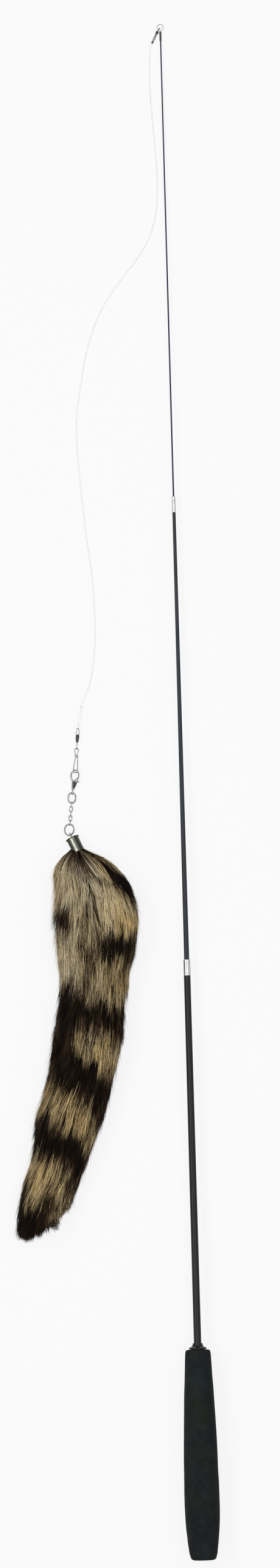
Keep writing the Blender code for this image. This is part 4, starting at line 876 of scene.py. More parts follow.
def mesh_of(name, shape, finish=None):
    """A mesh made from a shape, which is used up."""
    mesh = bpy.data.meshes.new(name)
    shape.to_mesh(mesh)
    shape.free()
    if finish:
        mesh.materials.append(finish)
    return mesh


def linked(name, data):
    """A new object of the scene."""
    made = bpy.data.objects.new(name, data)
    bpy.context.scene.collection.objects.link(made)
    return made


def joined(shape, other, operation):
    """Adds other to a shape or cuts it away."""
    for part in (shape, other):
        bmesh.ops.triangulate(part, faces=part.faces)
    objects = [linked("part", mesh_of("part", part)) for part in (shape, other)]
    step = objects[0].modifiers.new("Join", "BOOLEAN")
    step.operation, step.solver, step.object = operation, "EXACT", objects[1]
    bpy.context.view_layer.update()
    ready = objects[0].evaluated_get(bpy.context.evaluated_depsgraph_get())
    result = bmesh.new()
    result.from_mesh(ready.to_mesh())
    ready.to_mesh_clear()
    for item in objects:
        mesh = item.data
        bpy.data.objects.remove(item, do_unlink=True)
        bpy.data.meshes.remove(mesh)
    bmesh.ops.remove_doubles(result, verts=result.verts, dist=JOIN_MERGE)
    return result


def add_piece(name, shape, place, slot, body, node, angle=40, finish=None):
    """Sets a shape in its place, as a piece that moves with a body and stands for a CAD node. Each
    point's place in the piece's own frame is noted first, for finishes that follow its axis."""
    own = shape.verts.layers.float_vector.new("own")
    for vertex in shape.verts:
        vertex[own] = vertex.co
    bmesh.ops.transform(shape, matrix=place, verts=shape.verts)
    mesh = mesh_of(name, shape, finish_for(finish or slot))
    mesh.shade_smooth()
    mesh.set_sharp_from_angle(angle=math.radians(angle))
    piece = linked(name, mesh)
    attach(piece, body)
    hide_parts(node)
    return piece


# Places

def set_at(x, y, z, turn_x=0.0, turn_y=0.0, turn_z=0.0):
    """A frame at a place, turned by degrees."""
    turns = [math.radians(turn) for turn in (turn_x, turn_y, turn_z)]
    return Matrix.Translation((x, y, z)) @ Euler(turns).to_matrix().to_4x4()


def bow_offset(upper_radius, lower_radius):
    """From the centre of a wire to the centre of the wire that hangs in it."""
    return upper_radius + lower_radius + LINK_GAP


def wand_places(wand):
    """Frames of the wand's sections, and the floor under its tip."""
    base_top = wand.grip_length + wand.base_shown
    mid_top = base_top + wand.mid_shown
    eye_top = mid_top + wand.tip_shown + wand.sleeve_length + wand.eye_height
    slope = math.atan((wand.grip_belly - TIP_AXIS_HEIGHT) / (eye_top - GRIP_BELLY_STATION))
    butt_height = wand.grip_belly * math.cos(slope) + GRIP_BELLY_STATION * math.sin(slope)
    root = set_at(*BUTT_PLACE)
    handle = root @ set_at(0, 0, butt_height, -90 - math.degrees(slope))
    middle = handle @ set_at(0, 0, base_top)
    return {"handle": handle, "middle": middle, "tip": middle @ set_at(0, 0, wand.mid_shown),
            "floor": root @ set_at(0, (eye_top + TIP_WIRE_RADIUS) * math.cos(slope), 0)}


def cap_plate_top(sizes):
    """How far above the cap's frame its top face lies, and the foot of its eye."""
    neck = bow_offset(sizes.ring_wire, CAP_EYE_WIRE_RADIUS) - CAP_EYE_LENGTH
    return neck - CAP_EYE_WIRE_RADIUS - LINK_GAP / 2, neck


def hardware_places(wand, sizes):
    """Frames of the wand and of everything that hangs on the line, from the swivel down to the cap."""
    places = wand_places(wand)

    def hang(name, holder, reach, turn=0.0, tip=0.0):
        places[name] = places[holder] @ set_at(0, 0, reach, tip, turn)

    places["swivel"] = places["floor"] @ set_at(*LURE_START, HARDWARE_HEIGHT, -90, 0, -LURE_HEADING)
    hang("loop", "swivel", 0, LOWER_LOOP_TURN)
    hang("barrel", "swivel", bow_offset(STRAND_RADIUS, SWIVEL_WIRE_RADIUS) - SWIVEL_TOP_EYE_LENGTH
         - SWIVEL_WIRE_RADIUS - LINK_GAP)
    hang("lower_eye", "barrel", -sizes.barrel_length)
    hang("snap", "lower_eye", -SWIVEL_LOWER_EYE_LENGTH - SWIVEL_WIRE_RADIUS, SNAP_TURN)
    hang("clasp", "snap", bow_offset(SWIVEL_WIRE_RADIUS, sizes.snap_wire) - sizes.snap_length, CLASP_TURN)
    hang("upper_ring", "clasp", CLASP_EYE_TOP - CLASP_EYE_LENGTH, UPPER_RING_TURN)
    reach = bow_offset(CLASP_EYE_WIRE_RADIUS, sizes.ring_wire) - sizes.upper_ring_length
    holder, above, turn = "upper_ring", sizes.ring_wire, CHAIN_TURN
    for number in range(sizes.chain_links):
        name = "link_%d" % (number + 1)
        hang(name, holder, reach, turn, -CHAIN_TIPS[number % len(CHAIN_TIPS)])
        reach = bow_offset(above, sizes.chain_wire) - sizes.chain_length
        holder, above, turn = name, sizes.chain_wire, 0.0
    hang("lower_ring", holder, reach, LOWER_RING_TURN)
    half, tall = sizes.lower_ring_half_width, sizes.lower_ring_length / 2
    angle = math.atan(math.tan(math.radians(-CAP_TURN)) * half / tall)
    foot = bow_offset(sizes.chain_wire, sizes.ring_wire) - tall - tall * math.cos(angle)
    places["cap"] = places["lower_ring"] @ set_at(half * math.sin(angle), 0, foot, -CAP_TIP, CAP_TURN)
    return places


def setting(context):
    """The hardware's sizes, and all frames."""
    sizes = context.scene.teaser_hardware
    return sizes, hardware_places(context.scene.teaser_wand, sizes)


def line_start(wand):
    """The middle of the hitch and the top of the crimp in the tip's frame, and the way between them."""
    hitch = Vector((-2.15 * MM, 0, wand.tip_shown + wand.sleeve_length - 0.6 * MM))
    towards = Vector((-3.0, 0, -5.9)).normalized()
    crimp = hitch + towards * (HITCH_LENGTH / 2 + CRIMP_BELOW_HITCH) + CRIMP_FALL
    return hitch, crimp, towards


def line_ends(wand, tip):
    """Frames of the hitch and of the crimp, where the free line starts."""
    hitch, crimp, towards = line_start(wand)
    turn = upward(1).rotation_difference(-towards).to_matrix().to_4x4()
    return [tip @ Matrix.Translation(place) @ turn for place in (hitch, crimp)]


# The stage's camera and the line, which come first

class TEASER_OT_camera(bpy.types.Operator):
    """Set the camera above the table, looking straight down"""
    bl_idname = "teaser.camera"
    bl_label = "Camera"

    def execute(self, context):
        stage = context.scene.teaser_stage
        data = bpy.data.cameras.new("camera")
        data.sensor_fit, data.sensor_height, data.clip_end = "VERTICAL", SENSOR_HEIGHT, VIEW_END
        data.lens = SENSOR_HEIGHT * stage.distance / stage.view_height
        camera = linked("camera", data)
        camera.location = (*stage.view_centre, stage.distance)
        camera.rotation_euler = (0, 0, stage.roll)
        context.scene.camera = camera
        return {"FINISHED"}


class TEASER_OT_line(bpy.types.Operator):
    """Lay the clear line from its crimp at the tip to its knot above the swivel"""
    bl_idname = "teaser.line"
    bl_label = "Line"

    def execute(self, context):
        sizes, places = setting(context)
        radius = sizes.line_diameter / 2
        low = radius * 1.05
        from_floor = places["floor"].inverted()
        crimp = from_floor @ line_ends(context.scene.teaser_wand, places["tip"])[1]
        loop = from_floor @ places["loop"]
        route = [crimp @ upward(-CRIMP_LENGTH - reach) for reach in (SEAT_GAP, 2.5 * MM)]
        route += [Vector((across * MM, along * MM, low)) for across, along in LINE_ROUTE]
        knot = LOWER_LOOP_LENGTH + KNOT_LENGTH
        route += [loop @ upward(knot + reach) for reach in (3.0 * MM, 2 * SEAT_GAP)]
        route[-2].z = route[-1].z - 0.15 * MM
        points = smooth(route, LINE_POINTS)
        for point in points:
            point.z = max(point.z, low)
        points = [places["floor"] @ point for point in points]
        curve = bpy.data.curves.new("clear_line", "CURVE")
        curve.dimensions, curve.use_fill_caps = "3D", True
        curve.bevel_depth, curve.bevel_resolution = radius, 4
        spline = curve.splines.new("POLY")
        spline.points.add(len(points) - 1)
        for made, point in zip(spline.points, points):
            made.co = (*point, 1)
        curve.materials.append(finish_for("clear_line"))
        cord = linked("clear_line", curve)
        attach(cord, "tip_section")
        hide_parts("line")
        return {"FINISHED"}


# The wand

def grip_radius(wand, station):
    if station >= GRIP_BELLY_STATION:
        share = (station - GRIP_BELLY_STATION) / (wand.grip_length - GRIP_BELLY_STATION)
        return wand.grip_belly - (wand.grip_belly - wand.grip_top) * share ** 1.75
    share = (GRIP_BELLY_STATION - station) / GRIP_BELLY_STATION
    return wand.grip_belly - (wand.grip_belly - wand.grip_butt) * share ** 2


def foam_wear(place):
    """How far the foam's skin stands in or out at a place: dents from use and a faint waviness."""
    angle = math.degrees(math.atan2(place.x, -place.y))
    rise = noise.noise(Vector((place.x * 90, place.y * 90, place.z * 55))) * 0.1
    rise += noise.noise(Vector((place.x * 260, place.y * 260, place.z * 210))) * 0.05
    radius = math.hypot(place.x, place.y) / MM
    for station, turn, long, wide, depth in FOAM_DENTS:
        away = (angle - turn + 180) % 360 - 180
        reach = ((place.z / MM - station) / long) ** 2 + (math.radians(away) * radius / wide) ** 2
        rise -= depth * math.exp(-reach * 2)
    return rise * MM


class TEASER_OT_grip(bpy.types.Operator):
    """Shape the foam grip, its collar and the plug in its foot"""
    bl_idname = "teaser.grip"
    bl_label = "Grip"

    def execute(self, context):
        wand = context.scene.teaser_wand
        place = wand_places(wand)["handle"]
        high, low = wand.grip_length - 3 * MM, 4.5 * MM
        side = []
        for number in range(GRIP_ROWS):
            station = high + (low - high) * number / (GRIP_ROWS - 1)
            side.append((grip_radius(wand, station), station))
        bore, seat, edge = BASE_FOOT_RADIUS + SEAT_GAP, PLUG_RADIUS + SEAT_GAP, 0.4 * MM
        foam = turned([*corner(GRIP_TOP_ROUND, wand.grip_top, wand.grip_length, 0, 80, 8), *side,
                       *corner(GRIP_BUTT_ROUND, wand.grip_butt, 0, 105, 180, 10),
                       *arc(edge, edge, 180, 270, 3, (seat + edge, edge)),
                       (seat, PLUG_HEAD + SEAT_GAP), (bore, PLUG_HEAD + SEAT_GAP),
                       *arc(edge, edge, -90, 0, 3, (bore + edge, wand.grip_length - edge))], 112)
        inner = seat + 0.9 * MM
        for vertex in foam.verts:
            across = math.hypot(vertex.co.x, vertex.co.y)
            if across > inner:
                share = min(1.0, (across - inner) / (1.5 * MM))
                grown = 1.0 + foam_wear(vertex.co) * share / across
                vertex.co.x *= grown
                vertex.co.y *= grown
        bmesh.ops.recalc_face_normals(foam, faces=foam.faces)
        add_piece("grip", foam, place, "foam", "handle", "foam_grip", 60)
        foot, bore, edge = wand.grip_length + SEAT_GAP, BASE_FOOT_RADIUS + SEAT_GAP / 2, 0.05 * MM
        top, wide = foot + wand.collar_length, wand.collar_radius - 0.5 * MM
        fillet = arc(wide - bore - 0.45 * MM, wand.collar_length - COLLAR_RIM - 0.2 * MM, 270, 180, 10,
                     (wide, top))
        collar = turned([*fillet, *rounded(0.28 * MM, wand.collar_radius, foot + COLLAR_RIM, foot),
                         (bore, foot), (bore, top - edge), (bore + edge, top)], 96)
        add_piece("collar", collar, place, "collar_black", "handle", "grip_collar")
        top = PLUG_HEAD + PLUG_STEM
        plug = turned([(0, top), (PLUG_STEM_RADIUS * 0.7, top), (PLUG_STEM_RADIUS, top - 1 * MM),
                       (PLUG_STEM_RADIUS, PLUG_HEAD), (PLUG_RADIUS, PLUG_HEAD),
                       *corner(0.35 * MM, PLUG_RADIUS, 0, 90, 180), (PLUG_RADIUS - 1.2 * MM, 0.0),
                       (PLUG_RADIUS - 1.4 * MM, 0.25 * MM), (1.3 * MM, 0.32 * MM), (1.1 * MM, 0.05 * MM),
                       (0, 0.05 * MM)], 64)
        add_piece("plug", plug, place, "rubber", "handle", "butt_plug")
        return {"FINISHED"}


def tube_profile(foot, top, radii, seat, ferrule_length, bore, bush_seat=None):
    """A tapering tube whose ferrule reaches up to top. It is turned down to seat for the ferrule, and to
    bush_seat for a bush."""
    foot_radius, top_radius = radii
    step, top = top - ferrule_length, top - FERRULE_LIP - FERRULE_GAP
    profile = [(seat, top), (seat, step), (top_radius, step)]
    if bush_seat:
        low = foot + BUSH_FLANGE
        high = low + BUSH_LENGTH + SEAT_GAP
        profile += [(foot_radius, high + MID_HIDDEN - BUSH_LENGTH), (foot_radius, high),
                    (bush_seat, high), (bush_seat, low), (foot_radius, low)]
    return profile + [(foot_radius, foot), (bore, foot), (bore, top)]


def ferrule_profile(top, length, radius, seat, neck):
    """A ferrule with rolled edges and a faint step where it is pressed on, whose lip closes on a neck."""
    foot, bore, lip = top - length + FERRULE_GAP, seat + FERRULE_GAP, neck + NECK_GAP
    groove = [(radius - depth * MM, top - below * MM)
              for depth, below in ((0.0, 1.5), (0.05, 1.6), (0.05, 1.8), (0.0, 1.9))]
    return rounded(0.16 * MM, radius, top, foot, groove) + [
        (bore, foot), (bore, top - FERRULE_LIP), (lip, top - FERRULE_LIP), (lip, top)]


class TEASER_OT_sections(bpy.types.Operator):
    """Make the three telescoping sections and their ferrules"""
    bl_idname = "teaser.sections"
    bl_label = "Sections"

    def execute(self, context):
        wand = context.scene.teaser_wand
        places = wand_places(wand)
        base_top = wand.grip_length + wand.base_shown
        base = tube_profile(PLUG_HEAD + 2 * SEAT_GAP, base_top, (BASE_FOOT_RADIUS, wand.base_top),
                            BASE_SEAT_RADIUS, wand.base_ferrule_length, BASE_BORE_RADIUS)
        lower = ferrule_profile(base_top, wand.base_ferrule_length, wand.base_ferrule, BASE_SEAT_RADIUS,
                                wand.mid_foot)
        middle = tube_profile(-MID_HIDDEN, wand.mid_shown, (wand.mid_foot, wand.mid_top), MID_SEAT_RADIUS,
                              wand.mid_ferrule_length, MID_BORE_RADIUS, MID_BUSH_SEAT_RADIUS)
        upper = ferrule_profile(wand.mid_shown, wand.mid_ferrule_length, wand.mid_ferrule, MID_SEAT_RADIUS,
                                wand.tip_foot)
        foot, low, rod_top = -TIP_HIDDEN, BUSH_FLANGE - TIP_HIDDEN, wand.tip_shown + TIP_ROD_IN_SLEEVE
        high = low + BUSH_LENGTH + SEAT_GAP
        rod = [(0, rod_top), (wand.tip_top, rod_top), (wand.tip_foot, 0), (wand.tip_foot, high),
               (TIP_BUSH_SEAT_RADIUS, high), (TIP_BUSH_SEAT_RADIUS, low), (wand.tip_foot, low),
               (wand.tip_foot, foot), (0, foot)]
        for name, profile, steps, slot, body, node in (
                ("base_section", base, 72, "gloss_black", "handle", "base_tube"),
                ("lower_ferrule", lower, 72, "bare_steel", "handle", "base_ferrule"),
                ("middle_section_tube", middle, 64, "slate_coat", "middle_section", "mid_tube"),
                ("upper_ferrule", upper, 64, "bare_steel", "middle_section", "mid_ferrule"),
                ("tip_section_rod", rod, 40, "navy_coat", "tip_section", "tip_rod")):
            add_piece(name, turned(profile, steps), places[body.split("_")[0]], slot, body, node)
        return {"FINISHED"}


class TEASER_OT_tip(bpy.types.Operator):
    """Make the sleeve, the wire eye and the line's loop at the tip"""
    bl_idname = "teaser.tip"
    bl_label = "Tip"

    def execute(self, context):
        wand = context.scene.teaser_wand
        tip = wand_places(wand)["tip"]
        foot, outer, half = wand.tip_shown, wand.sleeve_radius, wand.eye_half_width
        top = foot + wand.sleeve_length
        grooves = [(outer - number % 2 * 0.07 * MM, top - (1.6 + 0.7 * number) * MM) for number in range(5)]
        sleeve = rounded(0.12 * MM, outer, top, foot, grooves, 3)
        sleeve += [(TIP_SLEEVE_BORE, foot), (TIP_SLEEVE_BORE, top)]
        add_piece("tip_crimp", turned(sleeve, 40), tip, "dark_steel", "tip_section", "tip_sleeve")
        leg, bow = TIP_SLEEVE_BORE - TIP_WIRE_RADIUS - 2 * FERRULE_GAP, top + wand.eye_height - half
        right = [(leg, foot + TIP_ROD_IN_SLEEVE + SEAT_GAP), (leg, top + 0.1 * MM),
                 (leg + 0.35 * MM, top + 0.75 * MM), (half * 0.82, bow - 1.15 * MM)]
        left = [(-across, along) for across, along in reversed(right)]
        eye = smooth(rolled(right + arc(half, half, 100, -100, 12, (0, bow)) + left), 84)
        add_piece("tip_wire_eye", bent_wire(eye, TIP_WIRE_RADIUS), tip, "nickel", "tip_section", "tip_eye")
        add_piece("tip_loop", self.loop(wand), tip, "clear_line", "tip_section", "line_loop",
                  finish="smoked_line")
        hitch, crimp = line_ends(wand, tip)
        top, bore = HITCH_LENGTH / 2, 2 * STRAND_OFFSET + LINK_GAP / 2
        wrap = [(HITCH_RADIUS - number % 2 * 0.09 * MM, top - HITCH_LENGTH * number / 8)
                for number in range(9)]
        wrap += [(bore, -top), (bore, top)]
        add_piece("hitch", turned(wrap, 40), hitch, "dark_sleeve", "tip_section", "hitch_sleeve")
        pinched = [(CRIMP_RADIUS * 0.86, -CRIMP_LENGTH / 2)]
        body = [(0, 0), *rounded(0.2 * MM, CRIMP_RADIUS, 0, -CRIMP_LENGTH, pinched), (0, -CRIMP_LENGTH)]
        add_piece("line_crimp", turned(body, 32), crimp, "clear_line", "tip_section", "loop_crimp", 60,
                  "smoked_line")
        return {"FINISHED"}

    def loop(self, wand):
        """The two strands from the crimp through the hitch and round the eye's wire."""
        hitch, crimp, towards = line_start(wand)
        side = towards.cross(Vector((0, 1, 0)))
        lift = bow_offset(STRAND_RADIUS, TIP_WIRE_RADIUS)
        eye = wand.tip_shown + wand.sleeve_length

        def strand(sign):
            aside, deep = side * sign, Vector((0, STRAND_OFFSET * sign, 0))
            return [crimp - towards * SEAT_GAP + aside * STRAND_OFFSET,
                    hitch + towards * STRANDS_APART_BELOW_HITCH + aside * 0.45 * MM + CRIMP_FALL * 0.6,
                    hitch + towards * 1.6 * MM + aside * STRAND_OFFSET * 0.6 - deep * 0.8,
                    hitch - deep, hitch - towards * 1.3 * MM - deep * 1.25,
                    Vector((-1.15 * MM, -lift * sign, eye + 1.4 * MM)),
                    Vector((-0.45 * MM, -lift * 0.6 * sign, eye + 2.0 * MM))]

        route = [*strand(1), Vector((-0.22 * MM, 0, eye + 2.2 * MM)), *reversed(strand(-1))]
        return wire(smooth(route, 96), STRAND_RADIUS, 14)


# The hanging hardware

class TEASER_OT_swivel(bpy.types.Operator):
    """Make the knot, the lower loop and the swivel"""
    bl_idname = "teaser.swivel"
    bl_label = "Swivel"

    def execute(self, context):
        sizes, places = setting(context)
        half, knot = bow_offset(STRAND_RADIUS, SWIVEL_WIRE_RADIUS), LOWER_LOOP_LENGTH
        bend = rolled(arc(half, half, 90, 270, 16, (0, half)), 90)
        rising = [Vector(point) for point in (
            (half * 0.15, half * 0.98, half + 0.9 * MM), (LOOP_SPREAD * 0.7, half * 0.7, half + 2.0 * MM),
            (LOOP_SPREAD, 0, half + 4.4 * MM), (LOOP_SPREAD * 0.8, 0, (knot + half) / 2 + 2.0 * MM),
            (STRAND_OFFSET * 1.05, 0, knot - 1.2 * MM), (STRAND_OFFSET, 0, knot))]
        other = [Vector((-point.x, -point.y, point.z)) for point in rising]
        route = smooth(rising[::-1] + bend[:1], 34) + bend[1:-1] + smooth(bend[-1:] + other, 34)
        add_piece("knot_loop", wire(route, STRAND_RADIUS, 14), places["loop"], "clear_line", "tip_section",
                  "lower_loop")
        foot, top = knot + SEAT_GAP, knot + SEAT_GAP + KNOT_LENGTH
        coils = [(0, top)]
        for number in range(17):
            bulge = KNOT_COIL * abs(math.sin(math.pi * number / 4))
            round_off = 0.22 * MM * (abs(number - 8) / 8) ** 4
            coils.append((KNOT_RADIUS - KNOT_COIL + bulge - round_off, top - KNOT_LENGTH * number / 16))
        add_piece("knot", turned([*coils, (0, foot)], 40), places["loop"], "clear_line", "tip_section",
                  "line_knot", 60)
        self.top_eye(places["swivel"], half)
        self.barrel(places["barrel"], sizes)
        self.lower_eye(places["lower_eye"], sizes)
        return {"FINISHED"}

    def eye(self, name, points, roll, head, neck, place, body, node):
        """A wire eye through points, whose stem ends in a flat head between heights head and neck."""
        step = (neck - head) * 0.12
        made = headed_wire((head, head + step, neck - step, neck, neck + step),
                           smooth(rolled(points, roll), 60), SWIVEL_WIRE_RADIUS * 0.9, SWIVEL_HEAD_RADIUS,
                           0.9, 16)
        add_piece(name, made, place, "nickel", body, node)

    def top_eye(self, place, top):
        foot = top - SWIVEL_TOP_EYE_LENGTH
        neck = foot - SWIVEL_WIRE_RADIUS - BARREL_PLATE - 2 * LINK_GAP
        half, crown = SWIVEL_TOP_EYE_HALF_WIDTH, SWIVEL_WIRE_RADIUS * 2.2
        points = [(0, foot - 0.05 * MM), (half * 0.55, foot + 0.05 * MM), (half, foot + 0.55 * MM),
                  *arc(crown, crown, 75, -75, 10, (0, top - crown)),
                  (-half, foot + 0.55 * MM), (-half * 0.62, foot + 0.08 * MM)]
        self.eye("swivel_upper_wire", points, 0, neck - SWIVEL_HEAD, neck, place, "tip_section",
                 "swivel_top_eye")

    def barrel(self, place, sizes):
        top, foot = -BARREL_PLATE, -BARREL_PLATE - BARREL_CAVITY_LENGTH
        radius, length = sizes.barrel_radius, sizes.barrel_length
        groove = [(radius - depth * MM, -below * MM)
                  for depth, below in ((0.0, 0.75), (0.1, 0.85), (0.1, 1.0), (0.0, 1.1))]
        shoulder = []
        for number in range(9):
            share = number / 8
            bend = math.sin(share * math.pi) * 0.1 * MM
            shoulder.append((radius + (BARREL_FOOT_RADIUS - radius) * share + bend,
                             foot * 0.78 + (-length - foot * 0.78) * share))
        inside = [(BARREL_BORE_RADIUS, -length), (BARREL_BORE_RADIUS, foot), (BARREL_CAVITY_RADIUS, foot),
                  (BARREL_CAVITY_RADIUS, top), (BARREL_BORE_RADIUS, top), (BARREL_BORE_RADIUS, 0)]
        shape = turned(corner(0.22 * MM, radius, 0) + groove + shoulder + inside, 48)
        add_piece("swivel_body", shape, place, "dark_steel", "barrel", "swivel_barrel")

    def lower_eye(self, place, sizes):
        neck = -SWIVEL_WIRE_RADIUS - LINK_GAP
        half = SWIVEL_LOWER_EYE_HALF_WIDTH * 1.16
        foot = half - SWIVEL_LOWER_EYE_LENGTH - SWIVEL_WIRE_RADIUS
        points = [(0, neck), (half * 0.45, neck - 0.5 * MM), (half * 0.92, neck - 1.5 * MM),
                  *arc(half, half, 90, 270, 10, (0, foot)),
                  (-half * 0.92, neck - 1.5 * MM), (-half * 0.62, neck - 0.75 * MM)]
        head = sizes.barrel_length - BARREL_PLATE - BARREL_CAVITY_LENGTH + LINK_GAP
        self.eye("swivel_lower_wire", points, 90, head + SWIVEL_HEAD, head, place, "lower_eye",
                 "swivel_lower_eye")


class TEASER_OT_snap(bpy.types.Operator):
    """Bend the wire snap"""
    bl_idname = "teaser.snap"
    bl_label = "Snap"

    def execute(self, context):
        sizes, places = setting(context)
        top = bow_offset(SWIVEL_WIRE_RADIUS, sizes.snap_wire)
        foot, neck = top - sizes.snap_length, top - SNAP_NECK_FROM_TOP
        head, waist, wide = SNAP_HEAD_HALF_WIDTH, SNAP_NECK_HALF_WIDTH, SNAP_FOOT_HALF_WIDTH
        aside, tall = sizes.snap_wire + LINK_GAP / 2, SNAP_FOOT_HALF_HEIGHT
        halfway = ((waist + wide) / 2, (neck + foot) / 2)
        points = [(waist * 1.02, neck - SNAP_LAP, aside), (waist, neck + SNAP_LAP, aside),
                  (waist * 1.2, neck + 1.5 * MM, aside * 0.6),
                  *arc(head, head, 100, -100, 12, (0, top - head)),
                  (-waist * 1.1, neck + 0.9 * MM), (-waist, neck), (-waist * 1.15, neck - 1.5 * MM),
                  (-halfway[0], halfway[1]), *arc(wide, tall, -95, -265, 12, (0, foot + tall)),
                  (*halfway, -aside * 0.5), (waist * 1.15, neck - 1.7 * MM, -aside),
                  (waist, neck + SNAP_LAP, -aside)]
        bent = bent_wire(smooth(rolled(points, SNAP_ROLL), 150), sizes.snap_wire * 0.9)
        add_piece("wire_snap_bend", bent, places["snap"], "nickel", "wire_snap", "snap")
        return {"FINISHED"}


def pin_hole(thickness, centre=(0.0, 0.0)):
    return plate(arc(PIN_HOLE_RADIUS, PIN_HOLE_RADIUS, 0, 345, 23, centre), thickness)


class TEASER_OT_clasp(bpy.types.Operator):
    """Make the lobster clasp: its slotted body with the eye, and its gate"""
    bl_idname = "teaser.clasp"
    bl_label = "Clasp"

    def execute(self, context):
        sizes, places = setting(context)
        half_band, thick = CLASP_BAND / 2, sizes.clasp_thickness
        centre = bow_offset(sizes.snap_wire, half_band) + HOOK_PLAY - CLASP_HALF_HEIGHT
        pivot = (PIVOT_ACROSS, centre - PIVOT_BELOW_CENTRE)
        outer = (CLASP_HALF_WIDTH + half_band, CLASP_HALF_HEIGHT + half_band)
        inner = (CLASP_HALF_WIDTH - half_band, CLASP_HALF_HEIGHT - half_band)
        outline = [*arc(*outer, HOOK_END[0], -150, 44, (0, centre)),
                   (-CLASP_TAIL_HALF_WIDTH, -CLASP_TAIL_STATION), (CLASP_TAIL_HALF_WIDTH, -CLASP_TAIL_STATION),
                   *arc(BOSS_RADIUS, BOSS_RADIUS, 120, -105, 20, pivot),
                   *arc(*inner, 168, 360 + HOOK_END[1], 40, (0, centre))]
        low, high = centre - 0.15 * outer[1], centre + 0.6 * outer[1]
        body = plate(outline, thick, 0.34 * MM, [low + (high - low) * number / 8 for number in range(9)])
        thinned(body, low, high, 0.9 * HOOK_THICKNESS / thick)
        eye = rolled(stadium(CLASP_EYE_HALF_WIDTH, CLASP_EYE_TOP, CLASP_EYE_TOP - CLASP_EYE_LENGTH, 16), 90)
        body = joined(body, wire(eye, CLASP_EYE_WIRE_RADIUS, closed=True), "UNION")
        slot = [(pivot[0] + across * MM, pivot[1] + along * MM) for across, along in GATE_SLOT]
        body = joined(body, plate(slot, SLOT_THICKNESS), "DIFFERENCE")
        body = joined(body, pin_hole(thick + 1.0 * MM, pivot), "DIFFERENCE")
        top, foot = pivot[1] - 1.2 * MM, pivot[1] - 3.4 * MM
        pocket = turned([(0, top), (SPRING_POCKET_RADIUS, top), (SPRING_POCKET_RADIUS, foot), (0, foot)], 24)
        bmesh.ops.translate(pocket, vec=(pivot[0] - 0.95 * MM, 0, 0), verts=pocket.verts)
        add_piece("clasp_hook", joined(body, pocket, "DIFFERENCE"), places["clasp"], "nickel", "clasp",
                  "clasp_body", 38, "nickel_casting")
        middle = (-pivot[0], centre - pivot[1])
        arm = arc(*outer, GATE_FROM[0], GATE_TO, 14, middle) + arc(*inner, GATE_TO, GATE_FROM[1], 14, middle)
        nub = [(across * MM, along * MM) for across, along in reversed(GATE_NUB)]
        gate = joined(plate(arm, GATE_THICKNESS, 0.16 * MM), plate(nub, TAB_THICKNESS, 0.1 * MM), "UNION")
        gate = joined(gate, pin_hole(GATE_THICKNESS + 0.5 * MM), "DIFFERENCE")
        add_piece("clasp_lever", gate, places["clasp"] @ set_at(pivot[0], 0, pivot[1]), "nickel", "gate",
                  "clasp_gate", 38)
        return {"FINISHED"}


class TEASER_OT_chain(bpy.types.Operator):
    """Make the two jump rings and the chain between them"""
    bl_idname = "teaser.chain"
    bl_label = "Rings and chain"

    def execute(self, context):
        sizes, places = setting(context)
        above, radius = sizes.ring_wire, sizes.chain_wire
        self.ring("upper", places, CLASP_EYE_WIRE_RADIUS, sizes.ring_wire, sizes.upper_ring_half_width,
                  sizes.upper_ring_length)
        for number in range(sizes.chain_links):
            name, top = "link_%d" % (number + 1), bow_offset(above, radius)
            loop = rolled(stadium(sizes.chain_half_width, top, top - sizes.chain_length, 14),
                          0 if number % 2 else 90)
            add_piece("chain_" + name + "_wire", wire(loop, radius, closed=True), places[name], "nickel",
                      name, "chain_" + name)
            above = radius
        self.ring("lower", places, radius, sizes.ring_wire, sizes.lower_ring_half_width,
                  sizes.lower_ring_length)
        return {"FINISHED"}

    def ring(self, which, places, above, radius, half_width, length):
        """A jump ring that hangs in a wire of radius above."""
        first = 90 + RING_SLIT / 2
        centre = (0, bow_offset(above, radius) - length / 2)
        loop = arc(half_width, length / 2, first, first + 360 - RING_SLIT, 72, centre)
        add_piece(which + "_jump_ring", wire(rolled(loop), radius, 20), places[which + "_ring"], "nickel",
                  which + "_ring", "jump_ring_" + which)


